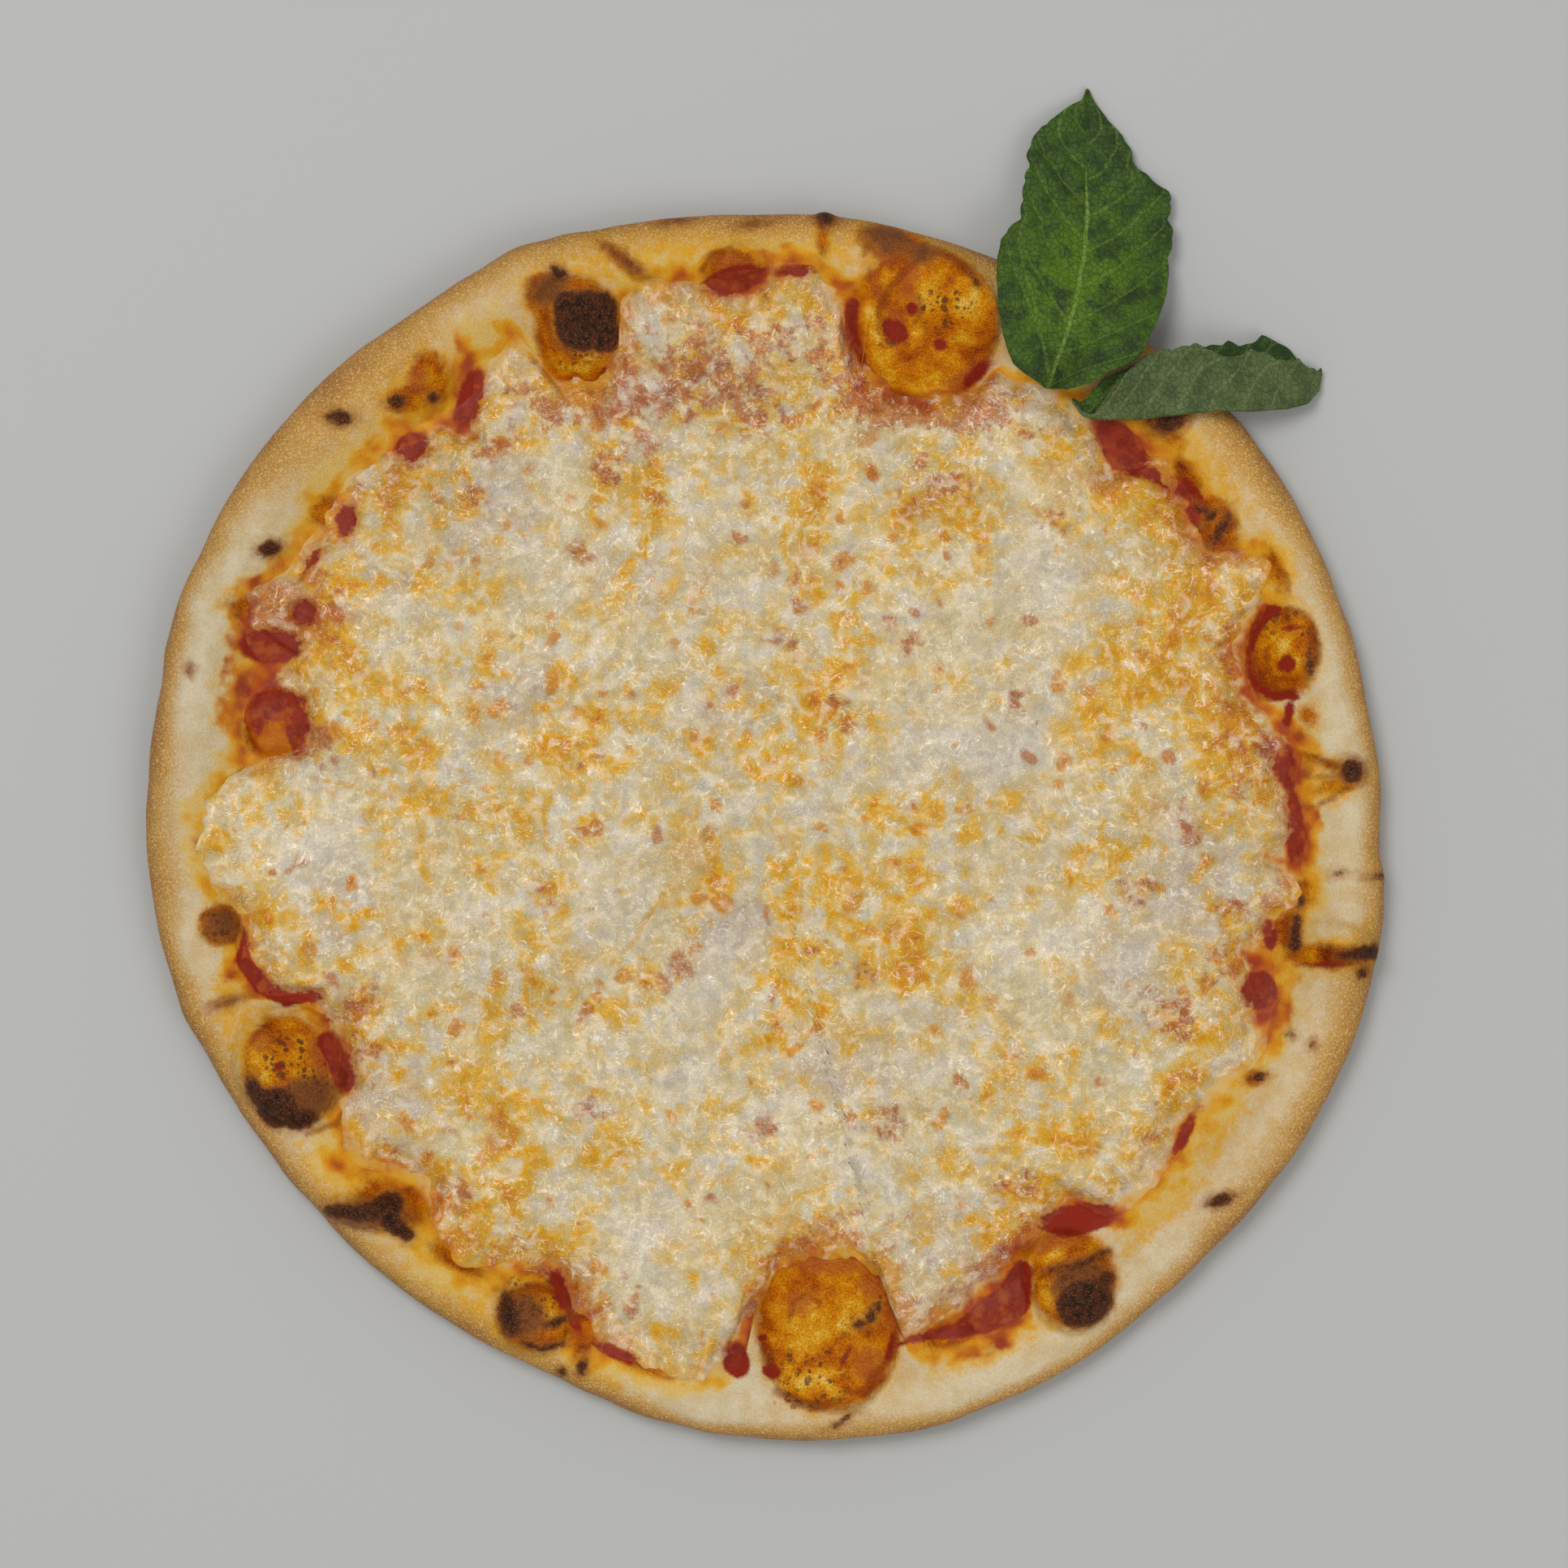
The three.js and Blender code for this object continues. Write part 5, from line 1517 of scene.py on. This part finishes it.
def makeCheeseMaterial():
    look = cheeseLook
    material, tree, place = startMaterial("meltedCheese")
    inside = attribute(tree, "inside")
    warm = attribute(tree, "warm")
    bare = attribute(tree, "bare")
    smeared = warped(tree, place, *look["smear"])
    broad = noise(tree, place, *look["broad"])
    middling, small = noises(tree, smeared, look, "middling", "small")
    curds, fine, grain = noises(tree, place, look, "curds", "fine", "grain")
    pool = ragged(tree, place, attribute(tree, "pool"), *look["poolEdge"])

    # melted fat between the curds, more of it in the warm zones, little in the milky pools
    oil = ragged(tree, place, attribute(tree, "oil"), *look["oilEdge"])
    zone = product(tree, warm, look["warmth"])
    unevenly = swing(tree, broad, look["broadGain"])
    zone = total(tree, zone, unevenly, stepped(tree, inside, *look["rimRange"]))
    lively = stepped(tree, total(tree, zone, product(tree, pool, look["poolCalm"])), *look["livelyRange"])
    streaks = total(tree, *swings(tree, (middling, small), look["streakGains"]))
    fat = total(tree, look["fat"], zone, product(tree, streaks, lively), product(tree, oil, look["oilFat"]))
    color = ramp(tree, fat, look["curd"])
    color = mixed(tree, product(tree, oil, look["oilAmount"]), color, look["gold"])
    mauve = ragged(tree, place, attribute(tree, "mauve"), *look["mauveEdge"])
    patchy = stepped(tree, small, *look["mauveRange"])
    mauve = product(tree, mauve, patchy, stepped(tree, fat, *look["leanRange"]))
    color = mixed(tree, mauve, color, look["mauve"])
    share = total(tree, look["dropShare"], product(tree, zone, look["dropWarmth"]))
    drops = product(tree, blobs(tree, place, look["dropSize"], share, *look["drops"]), look["dropAmount"])
    color = mixed(tree, drops, color, look["orange"])
    crumbs = product(tree, blobs(tree, place, look["crumbSize"], share, *look["crumbs"]), look["crumbAmount"])
    color = mixed(tree, crumbs, color, look["gold"])
    color = mixed(tree, product(tree, pool, look["poolAmount"]), color, look["pool"])
    marks = noise(tree, smeared, *look["marks"])
    rosy = product(tree, attribute(tree, "rosy"), look["rosyZone"])
    rosy = stepped(tree, total(tree, rosy, swing(tree, marks, look["rosyGain"])), *look["rosyRange"])
    rosy = product(tree, rosy, stepped(tree, attribute(tree, "rosy"), *look["rosyLimitRange"]))
    reddish = mixed(tree, stepped(tree, curds, *look["reddishRange"]), look["rust"], look["rosy"])
    color = mixed(tree, rosy, color, reddish)

    # golden creases between lobes of cheese
    crease = ragged(tree, place, attribute(tree, "crease"), *look["creaseEdge"])
    color = mixed(tree, product(tree, crease, look["creaseAmount"]), color, look["gold"])

    # browned places
    rusty = ragged(tree, place, attribute(tree, "rust"), *look["rustEdge"])
    rusty = product(tree, rusty, stepped(tree, marks, *look["rustRange"]))
    color = mixed(tree, rusty, color, look["rust"])
    browned = product(tree, blobs(tree, place, *look["browned"]), look["brownedAmount"])
    color = mixed(tree, browned, color, look["amber"])
    specks = product(tree, blobs(tree, place, *look["specks"]), look["speckAmount"])
    color = mixed(tree, specks, color, look["rust"])

    # stained by the sauce at the edge, where curds thin out
    seam = total(tree, inside, *swings(tree, (middling, small, fine), look["seamGains"]))
    rich = attribute(tree, "rich")
    color = mixed(tree, product(tree, stepped(tree, seam, *look["seamRange"]), rich), color, look["blush"])
    soaked = stain(tree, place, rich)
    skirt = less(tree, attribute(tree, "amber"), look["skirtGrowth"])
    skirt = ragged(tree, place, skirt, *look["skirtEdge"])
    color = mixed(tree, product(tree, skirt, look["skirtAmount"]), color, soaked)
    covered = curdCover(tree, place, product(tree, inside, -1.0), rich)
    color = mixed(tree, product(tree, less(tree, 1.0, covered), look["soakAmount"]), color, soaked)
    blush = ragged(tree, place, less(tree, bare, look["blushGrowth"]), *look["blushEdge"])
    color = mixed(tree, product(tree, blush, look["blushAmount"]), color, look["rosy"])
    color = mixed(tree, ragged(tree, place, bare, *look["bareEdge"]), color, look["red"])

    # pale curds on top, partly their own colour and partly painted highlights, and wet strands and fine dots
    # of painted highlight
    paintedRelief = noise(tree, warped(tree, place, *look["paintedReliefBend"]), *look["paintedRelief"])
    pale = stepped(tree, paintedRelief, *look["paleFleckHighlightRange"])
    clear = stepped(tree, bare, *look["bareRange"])
    paleFlecksAndHighlights = product(tree, pale, clear, covered, stepped(tree, rosy, *look["paleFleckHighlightRosyRange"]))
    color = mixed(tree, paleFlecksAndHighlights, color, look["paleFleckAndHighlight"])
    lit = 0.0
    for turn, length, gap, amount in look["highlightStrands"]:
        lit = most(tree, lit, highlightStrands(tree, place, turn, length, gap, amount))
    dry = product(tree, clear, stepped(tree, inside, *look["dryRange"]), covered)
    lit = product(tree, lit, dry, stepped(tree, fine, *look["litRange"]))
    color = mixed(tree, product(tree, lit, look["litAmount"]), color, look["glint"])
    glintDots = product(tree, stepped(tree, grain, *look["glintDotRange"]), dry)
    color = mixed(tree, glintDots, color, look["glint"])
    # painted shade in the hollows between curds and painted light and shade of their relief, with grain,
    # duller and brighter zones and clouds of tone
    shade = product(tree, stepped(tree, grain, *look["grainRange"]), stepped(tree, curds, *look["curdShadeRange"]))
    shade = product(tree, shade, stepped(tree, paintedRelief, *look["paintedReliefRange"]))
    shade = product(tree, shade, stepped(tree, attribute(tree, "dull"), *look["dullRange"]))
    clouding = noise(tree, place, *look["clouding"])
    shade = product(tree, shade, stepped(tree, clouding, *look["cloudingRange"]))
    color = shaded(tree, color, total(tree, shade, product(tree, lit, look["litShade"])))

    fineHeight = product(tree, fine, look["fineHeight"])
    height = total(tree, curds, fineHeight, product(tree, grain, look["grainHeight"]))
    finishMaterial(tree, look, color, height)
    return material


def fanFaces(steps, sides):
    # triangles between rings round a middle point, each ring with sides more points than the last
    faces = []
    for k in range(1, steps + 1):
        outer = 1 + sides * k * (k - 1) // 2
        inner = 1 + sides * (k - 1) * (k - 2) // 2 if k > 1 else 0
        for side in range(sides):
            i = np.arange(k)
            o = outer + (side * k + i) % (sides * k)
            oNext = outer + (side * k + i + 1) % (sides * k)
            n = inner + (side * (k - 1) + i) % max(sides * (k - 1), 1)
            faces.append(np.stack([n, o, oNext], axis=1))
            if k > 1:
                j = np.arange(k - 1)
                n = inner + (side * (k - 1) + j) % (sides * (k - 1))
                nNext = inner + (side * (k - 1) + j + 1) % (sides * (k - 1))
                oNext = outer + (side * k + j + 1) % (sides * k)
                faces.append(np.stack([n, oNext, nNext], axis=1))
    return np.concatenate(faces).tolist()


def makeCheese():
    shape = cheeseShape
    steps = shape["steps"]
    sides = shape["sides"]
    ringNumbers = range(1, steps + 1)
    angle = np.concatenate([[0.0]] + [np.arange(sides * k) * turnOnce / (sides * k) for k in ringNumbers])
    share = np.concatenate([[0.0]] + [np.full(sides * k, k / steps) for k in ringNumbers])
    edge = cheeseEdge(angle)
    reach = edge * share
    x, y = fromPolar(angle, reach)
    inside = edge - reach
    atEdge = blend(shape["thinEdge"], 1, smooth(inside / shape["edgeSlope"]))
    bare = smooth(bareDistance(x, y) / shape["bareSlope"] + shape["bareStart"])
    thick = shape["thickness"] * atEdge * blend(shape["thinBare"], 1, bare)
    lift = toppingLift(angle, reach) + shape["lift"] * smooth(inside / shape["liftSlope"])
    lumps = shape["lumps"] * clouds(x, y, shape["lumpLayers"]) * smooth(inside / shape["lumpSlope"])
    z = doughHeight(angle, reach) + lift + thick + lumps
    points = [np.stack([x, y, z], axis=1)]
    faces = fanFaces(steps, sides)

    # the underside follows the sauce
    count = sides * steps
    last = len(x) - count
    rim = angle[last:]
    for share in shape["underShares"]:
        reach = edge[last:] * share
        height = doughHeight(rim, reach) + toppingLift(rim, reach) - shape["underSunk"]
        points.append(ringPoints(rim, reach, height))
    under = len(shape["underShares"])
    faces += ringFaces(last, under + 1, count, True)
    faces += capFaces(last + under * count, count, last + (under + 1) * count, True)
    points.append([[0, 0, dough["floor"] + toppingLift(0, 0) - shape["middleSunk"]]])
    points = np.concatenate(points)
    x, y, z = points.T
    spots = {"pool": poolSpots, "oil": oilSpots, "rust": rustSpots, "mauve": mauveSpots, "amber": amberSpots}
    zones = {"rosy": rosyZones, "warm": warmZones, "dull": dullZones}
    fields = {name: spotDistance(x, y, places) for name, places in spots.items()}
    fields.update({name: zoneField(x, y, places) for name, places in zones.items()})
    fields["inside"] = np.concatenate([inside, np.zeros(under * count + 1)])
    fields["bare"] = bareDistance(x, y)
    fields["rich"] = around(stainRich, np.arctan2(y, x))
    fields["crease"] = strokeDistance(x, y, creaseStrokes)
    crisp = (last, last + 2 * count)
    material = makeCheeseMaterial()
    makePiece("cheeseSheet", points, faces, material, "melted_cheese", fields, crisp)


makeCheese()
print("cheese done")


# the basil

leafThickness = 0.4
leafLowest = 0.75  # height of the middle of a leaf where it lies lowest
veinLook = {"curve": 1.3, "leastHalf": 3, "ribHalf": 0.02}
openLeaf = {
    "base": (69.3, 108.3),
    "tip": (79.6, 183),
    "bow": [[0, 0], [0.2, -3], [0.3, -3.9], [0.45, -4.5], [0.6, -3.9], [0.7, -2.5], [0.85, -1.6], [1, 0]],
    "left": [
        [0, 0.8], [0.02, 3.6], [0.04, 7.2], [0.065, 10.4], [0.11, 13.1], [0.16, 15.6], [0.24, 18.4],
        [0.33, 20.5], [0.4, 21.2], [0.46, 20.9], [0.5, 19], [0.535, 16.4], [0.61, 16.1], [0.68, 15.2],
        [0.71, 14], [0.75, 14.7], [0.79, 14.1], [0.85, 12], [0.865, 9.9], [0.905, 7.4], [0.94, 4.2],
        [0.96, 1.6], [1, 0.3],
    ],
    "right": [
        [0, 4.5], [0.03, 9.9], [0.08, 13.8], [0.105, 16.7], [0.135, 19.4], [0.2, 19.9], [0.26, 21],
        [0.31, 21.5], [0.36, 22], [0.42, 21.8], [0.48, 20.9], [0.54, 21.6], [0.575, 21.2],
        [0.61, 20.1], [0.65, 20.9], [0.675, 21.2], [0.703, 20.4], [0.715, 18], [0.745, 14.9],
        [0.758, 12.3], [0.82, 10.6], [0.86, 8.5], [0.885, 6.5], [0.933, 3.4], [0.97, 1.4], [1, 0.3],
    ],
    "drape": [
        [120, 9.6], [128, 9.9], [136, 12.4], [142, 14], [147, 14.2], [151, 13.6], [158, 11.2],
        [168, 7.6], [180, 4.4], [200, 1],
    ],
    "rows": 170,
    "columns": 96,
    "teeth": 0.55,
    "teethTurns": 52,
    "teethIn": 0.2,
    "teethStart": 0.42,
    "teethEnd": 0.96,
    "groove": 0.9,
    "lift": 4.4,
    "liftEnd": 0.5,
    "puff": 0.5,
    "crumple": 0.5,
    "crumpleCloud": (7, 61, 3),  # size, seed and octaves
    "veinHalf": 2.6,
    "ribHalf": 0.5,
    "ribDepth": 0.25,
    "curl": 1.1,  # how far the right margin rolls down between these places
    "curlStart": 0.16,
    "curlEnd": 0.5,
    # painted sheen down the middle of the blade: its place, length and half width
    "paintedSheenPlace": 0.36,
    "paintedSheenLength": 0.24,
    "paintedSheenHalf": 15,
    # lateral veins on each side: [start on the midrib, climb towards the margin]
    "leftVeins": [
        [0.0, 0.62], [0.03, 0.46], [0.22, 0.34], [0.36, 0.3], [0.5, 0.26], [0.62, 0.22], [0.74, 0.2],
        [0.85, 0.16],
    ],
    "rightVeins": [
        [0.0, 0.16], [0.12, 0.18], [0.22, 0.26], [0.34, 0.28], [0.46, 0.26], [0.58, 0.24], [0.7, 0.2],
        [0.82, 0.16],
    ],
}
foldedLeaf = {
    "base": (75.6, 105.2),
    "tip": (137.5, 112.7),
    "bow": [
        [0, 0], [0.03, -3.4], [0.07, -4.6], [0.24, -5.7], [0.56, -5.9], [0.7, -7], [0.84, -7.2],
        [0.93, -6.4], [0.98, -4], [1, 0],
    ],
    "under": [
        [0, 0.8], [0.06, 5], [0.12, 9], [0.3, 13.6], [0.5, 15], [0.6, 15.2], [0.64, 16.4], [0.68, 15.4],
        [0.73, 15.6], [0.78, 17.5], [0.82, 16.6], [0.85, 14.8], [0.885, 13.3], [0.94, 6], [1, 0.4],
    ],
    "over": [
        [0, 0.6], [0.075, 0.9], [0.11, 3.2], [0.155, 6.9], [0.225, 11], [0.28, 13.5], [0.35, 14.8],
        [0.43, 15], [0.504, 15.8], [0.55, 14.2], [0.59, 12.6], [0.65, 12.1], [0.72, 14.1], [0.78, 13.1],
        [0.82, 11.3], [0.866, 10.3], [0.915, 10.1], [0.93, 8.2], [0.97, 5.4], [1, 0.5],
    ],
    "drape": [
        [118, 8.6], [128, 8.9], [134, 10.8], [140, 13.7], [144, 14.2], [149, 13.9], [154, 12.6],
        [160, 9.8], [168, 5.2], [176, 1.1], [180, 0.9],
    ],
    "rows": 150,
    "flatColumns": 40,
    "bendColumns": 14,
    "teeth": 0.5,
    "teethTurns": 46,
    "teethStart": 0.2,
    "foldRadius": 0.9,
    "foldGrowth": 0.3,
    "spread": 1.4,
    "veinHalf": 2.2,
    "puff": 0.35,
    "crumple": 0.4,
    "crumpleCloud": (6, 71, 3),
    "ribSide": 1.2,  # keeps the midrib's tone off the fold
    "veins": [[0.02, 0.2], [0.14, 0.22], [0.27, 0.22], [0.4, 0.22], [0.53, 0.2], [0.66, 0.18], [0.78, 0.14]],
}
leafLook = {
    "topDark": tint(57, 84, 32),
    "topBright": tint(86, 116, 20),
    "topShade": tint(40, 61, 28),
    "vein": tint(116, 140, 58),
    "under": tint(91, 104, 60),
    "underShade": tint(70, 84, 46),
    "underVein": tint(110, 124, 82),
    "middling": (5, 4, 0.6),
    "fine": (1.0, 3, 0.65),
    "netSize": 1.6,
    "netRange": (0.1, 0.0),
    "netOnTop": 0.12,
    "netBelow": 0.3,
    "netDepth": 0.6,
    "shadeRange": (0.36, 0.66),
    "paintedSheenRange": (0.3, 0.6),
    "fineRange": (0.55, 0.75, 0.0, 0.3),
    "veinRange": (0.45, 0.1, 0.0, 0.3),
    "underRange": (0.36, 0.64),
    "underVeinRange": (0.5, 0.15, 0.0, 0.5),
    "ribRange": (0.75, 0.35, 0.0, 0.85),
    "grainRange": (0.3, 0.7, 0.88, 1.1),
    "roughness": 0.5,
    "specular": 0.2,
    "bumpDepth": 0.4,
}


def midrib(leaf, s):
    base = np.array(leaf["base"])
    run = np.array(leaf["tip"]) - base
    left = np.array([-run[1], run[0]]) / np.hypot(*run)
    at = base + s[..., None] * run + along(leaf["bow"], s)[..., None] * left
    return at[..., 0], at[..., 1], left, float(np.hypot(*run))


def veinDistance(s, t, half, length, veins):
    # distance in millimetres from the nearest lateral vein on one side
    nearest = np.full(s.shape, farAway)
    for start, climb in veins:
        path = start + climb * np.abs(t) ** veinLook["curve"]
        slope = np.hypot(1, climb * length / np.maximum(half, veinLook["leastHalf"]))
        pastRib = 2 * np.clip(veinLook["ribHalf"] - np.abs(t), 0, 1)
        nearest = np.minimum(nearest, np.abs(s - path) * length / slope + pastRib)
    return nearest


def sheetPiece(name, middle, material, node, fields):
    # gives a grid of points its thickness and closes its edges
    rows = middle.shape[0] - 1
    columns = middle.shape[1] - 1
    normal = np.cross(np.gradient(middle, axis=1), np.gradient(middle, axis=0))
    normal /= np.maximum(np.linalg.norm(normal, axis=2, keepdims=True), 1e-9)
    points = np.concatenate([
        (middle + normal * leafThickness / 2).reshape(-1, 3),
        (middle - normal * leafThickness / 2).reshape(-1, 3),
    ])
    wide = columns + 1
    i, j = np.meshgrid(np.arange(rows), np.arange(columns), indexing="ij")
    a = (i * wide + j).ravel()
    top = np.stack([a, a + 1, a + wide + 1, a + wide], axis=1)
    offset = (rows + 1) * wide
    faces = top.tolist() + (top[:, ::-1] + offset).tolist()

    def wall(chain):
        first = chain[:-1]
        second = chain[1:]
        return np.stack([first, first + offset, second + offset, second], axis=1).tolist()

    down = np.arange(rows + 1) * wide
    across = np.arange(wide)
    faces += wall(down[::-1] + columns) + wall(down)
    faces += wall(across[::-1]) + wall(across + rows * wide)
    fields = {key: np.concatenate([value.ravel()] * 2) for key, value in fields.items()}
    fields["topSide"] = np.concatenate([np.ones(offset), np.zeros(offset)])
    makePiece(name, points, faces, material, node, fields)


def makeLeafMaterial(name):
    look = leafLook
    material, tree, place = startMaterial(name)
    vein = attribute(tree, "vein")
    rib = attribute(tree, "rib")
    topSide = attribute(tree, "topSide")
    paintedSheen = attribute(tree, "paintedSheen")
    middling, fine = noises(tree, place, look, "middling", "fine")
    cells = {"Vector": place, "Scale": 1 / (look["netSize"] * mm)}
    lace = add(tree, "TexVoronoi", cells, feature="DISTANCE_TO_EDGE").outputs["Distance"]
    net = stepped(tree, lace, *look["netRange"])

    top = mixed(tree, stepped(tree, middling, *look["shadeRange"]), look["topShade"], look["topDark"])
    # painted sheen: the top lighter down the middle of the open leaf, on its curled margin and towards the
    # folded leaf's stalk end
    bright = product(tree, paintedSheen, stepped(tree, middling, *look["paintedSheenRange"]))
    top = mixed(tree, bright, top, look["topBright"])
    top = mixed(tree, stepped(tree, fine, *look["fineRange"]), top, look["topBright"])
    top = mixed(tree, product(tree, net, look["netOnTop"]), top, look["vein"])
    top = mixed(tree, stepped(tree, vein, *look["veinRange"]), top, look["vein"])
    below = mixed(tree, stepped(tree, middling, *look["underRange"]), look["under"], look["underShade"])
    below = mixed(tree, product(tree, net, look["netBelow"]), below, look["underVein"])
    below = mixed(tree, stepped(tree, vein, *look["underVeinRange"]), below, look["underVein"])
    color = mixed(tree, topSide, below, top)
    color = mixed(tree, stepped(tree, rib, *look["ribRange"]), color, look["vein"])
    color = shaded(tree, color, stepped(tree, fine, *look["grainRange"]))
    height = total(tree, less(tree, fine, product(tree, net, look["netDepth"])), middling)
    finishMaterial(tree, look, color, height)
    return material


def makeOpenLeaf():
    leaf = openLeaf
    lengthwise = np.linspace(0, 1, leaf["rows"] + 1)
    s, t = np.meshgrid(lengthwise, np.linspace(1, -1, leaf["columns"] + 1), indexing="ij")
    x, y, left, length = midrib(leaf, s)
    teeth = leaf["teeth"] * np.abs(np.sin(s * leaf["teethTurns"]))
    teeth = teeth * smooth((s - leaf["teethStart"]) * 8) * smooth((leaf["teethEnd"] - s) * 12)
    half = np.where(t > 0, along(leaf["left"], s), along(leaf["right"], s))
    half = half + (teeth - leaf["teethIn"]) * (np.abs(t) > 0.01) * smooth(half / 3)
    x = x + t * half * left[0]
    y = y + t * half * left[1]
    rib = np.abs(t) * half
    leftVein = veinDistance(s, t, half, length, leaf["leftVeins"])
    vein = np.where(t > 0, leftVein, veinDistance(s, t, half, length, leaf["rightVeins"]))
    end = np.clip(4 * (1 - s), 0, 1)
    margin = np.abs(t)
    z = along(leaf["drape"], np.hypot(x, y)) - leaf["groove"] * (1 - margin) ** 3 * end
    z = z + leaf["lift"] * smooth(-1.6 * t) * smooth(1 - s / leaf["liftEnd"])
    puff = leaf["puff"] * (smooth(vein / leaf["veinHalf"]) - 0.6) * smooth(rib / 2) * end
    crumple = leaf["crumple"] * cloud(x, y, *leaf["crumpleCloud"]) * smooth(margin * 2) * end
    z = z + puff + crumple - leaf["ribDepth"] * np.exp(-(rib / leaf["ribHalf"]) ** 2)
    curl = smooth((-t - 0.86) / 0.08) * smooth((s - leaf["curlStart"]) * 10)
    curl = curl * smooth((leaf["curlEnd"] - s) * 20)
    z = z - leaf["curl"] * curl
    z = np.maximum(z, leafLowest)
    # painted sheen, strongest down the middle of the blade and brighter on the curled margin
    paintedSheen = np.exp(-(((s - leaf["paintedSheenPlace"]) / leaf["paintedSheenLength"]) ** 2))
    paintedSheen = paintedSheen * np.exp(-((rib / leaf["paintedSheenHalf"]) ** 2))
    fields = {
        "vein": np.where(margin < 0.97, vein, 5),
        "rib": rib + 0.9 * smooth((s - 0.55) * 3),
        "paintedSheen": np.clip(0.15 + 0.85 * paintedSheen + 0.3 * curl, 0, 1),
    }
    middle = np.stack([x, y, z], axis=2)
    sheetPiece("basilLeafOpen", middle, makeLeafMaterial("basilTop"), "basil_leaf_open", fields)


def makeFoldedLeaf():
    leaf = foldedLeaf
    flat = leaf["flatColumns"]
    bend = leaf["bendColumns"]
    lengthwise = np.linspace(0, 1, leaf["rows"] + 1)
    s, j = np.meshgrid(lengthwise, np.arange(2 * flat + bend + 1), indexing="ij")
    opened = smooth(s / leaf["foldGrowth"])
    end = np.clip(5 * (1 - s), 0, 1)
    radius = leaf["foldRadius"] * blend(0.4, 1, opened) * np.clip(12 * (1 - s), 0.4, 1)
    teeth = leaf["teeth"] * np.abs(np.sin(s * leaf["teethTurns"])) * smooth((s - leaf["teethStart"]) * 8)
    lower = np.clip((flat - j) / flat, 0, 1)
    upper = np.clip((j - flat - bend) / flat, 0, 1)
    turn = np.pi * np.clip((j - flat) / bend, 0, 1)
    under = along(leaf["under"], s) + teeth
    over = along(leaf["over"], s) + teeth
    out = lower * under + upper * over - radius * np.sin(turn)
    height = radius * (1 - np.cos(turn)) + leaf["spread"] * opened * upper**2
    x, y, left, length = midrib(leaf, s)
    x = x + out * left[0]
    y = y + out * left[1]
    onTop = j > flat + bend / 2
    half = np.where(onTop, over, under)
    t = np.where(onTop, upper, lower)
    vein = veinDistance(s, t, half, length, leaf["veins"])
    puff = leaf["puff"] * (smooth(vein / leaf["veinHalf"]) - 0.5) * smooth(t * 6) * end
    crumple = leaf["crumple"] * cloud(x, y, *leaf["crumpleCloud"]) * end
    z = along(leaf["drape"], np.hypot(x, y)) + height + crumple - np.where(onTop, puff, 0)
    z = np.maximum(z, leafLowest)
    ribSide = leaf["ribSide"]
    # with a painted sheen that fades from the stalk end
    fields = {
        "vein": vein,
        "rib": np.where(t > 0, t * half + ribSide, ribSide),
        "paintedSheen": 0.5 * (1 - smooth(s * 3)),
    }
    middle = np.stack([x, y, z], axis=2)
    material = makeLeafMaterial("basilUnderside")
    sheetPiece("basilLeafFolded", middle, material, "basil_leaf_folded", fields)


makeOpenLeaf()
makeFoldedLeaf()
print("leaves done")


# floor, light and camera, with places and sizes of the lamps and the floor in metres

studio = {
    "floor": tint(180, 180, 178),
    "floorSize": 4.0,  # from the middle to a side
    "floorRoughness": 0.7,
    "sky": 0.47,
    "key": 16.0,
    "keyPlace": (-0.6, 0.6, 1.7),
    "keySize": 0.9,
    "fill": 9.0,
    "fillPlace": (1.1, -0.9, 1.4),
    "fillSize": 1.2,
    "frameMiddle": (4.4, 10.8),
    "frameWidth": 386.4,
    "frameHeight": 10.0,  # the level that fills the frame's width
    "cameraDistance": 1.7,  # in metres
    "sensor": 36.0,
}


def makeFloor():
    size = studio["floorSize"]
    mesh = bpy.data.meshes.new("floor")
    corners = [(-size, -size, 0), (size, -size, 0), (size, size, 0), (-size, size, 0)]
    mesh.from_pydata(corners, [], [(0, 1, 2, 3)])
    material = bpy.data.materials.new("plainFloor")
    material.use_nodes = True
    shader = material.node_tree.nodes["Principled BSDF"]
    shader.inputs["Base Color"].default_value = studio["floor"]
    shader.inputs["Roughness"].default_value = studio["floorRoughness"]
    mesh.materials.append(material)
    floor = bpy.data.objects.new("floor", mesh)
    bpy.context.scene.collection.objects.link(floor)


def makeLight(name, power, place, size):
    data = bpy.data.lights.new(name, "AREA")
    data.energy = power
    data.shape = "DISK"
    data.size = size
    lamp = bpy.data.objects.new(name, data)
    lamp.location = place
    aim = -np.array(place)
    flat = math.hypot(aim[0], aim[1])
    lamp.rotation_euler = (math.atan2(flat, -aim[2]), 0, math.atan2(aim[1], aim[0]) - math.pi / 2)
    bpy.context.scene.collection.objects.link(lamp)


def makeCamera():
    data = bpy.data.cameras.new("camera")
    data.sensor_width = studio["sensor"]
    data.lens = studio["sensor"] * studio["cameraDistance"] / (studio["frameWidth"] * mm)
    camera = bpy.data.objects.new("camera", data)
    x, y = studio["frameMiddle"]
    camera.location = (x * mm, y * mm, studio["cameraDistance"] + studio["frameHeight"] * mm)
    bpy.context.scene.collection.objects.link(camera)
    bpy.context.scene.camera = camera


def makeWorld():
    world = bpy.data.worlds.new("studio")
    world.use_nodes = True
    background = world.node_tree.nodes["Background"]
    background.inputs["Color"].default_value = (1, 1, 1, 1)
    background.inputs["Strength"].default_value = studio["sky"]
    bpy.context.scene.world = world


makeFloor()
makeLight("key", studio["key"], studio["keyPlace"], studio["keySize"])
makeLight("fill", studio["fill"], studio["fillPlace"], studio["fillSize"])
makeCamera()
makeWorld()
bpy.context.scene.view_settings.view_transform = "Standard"
print("studio done")
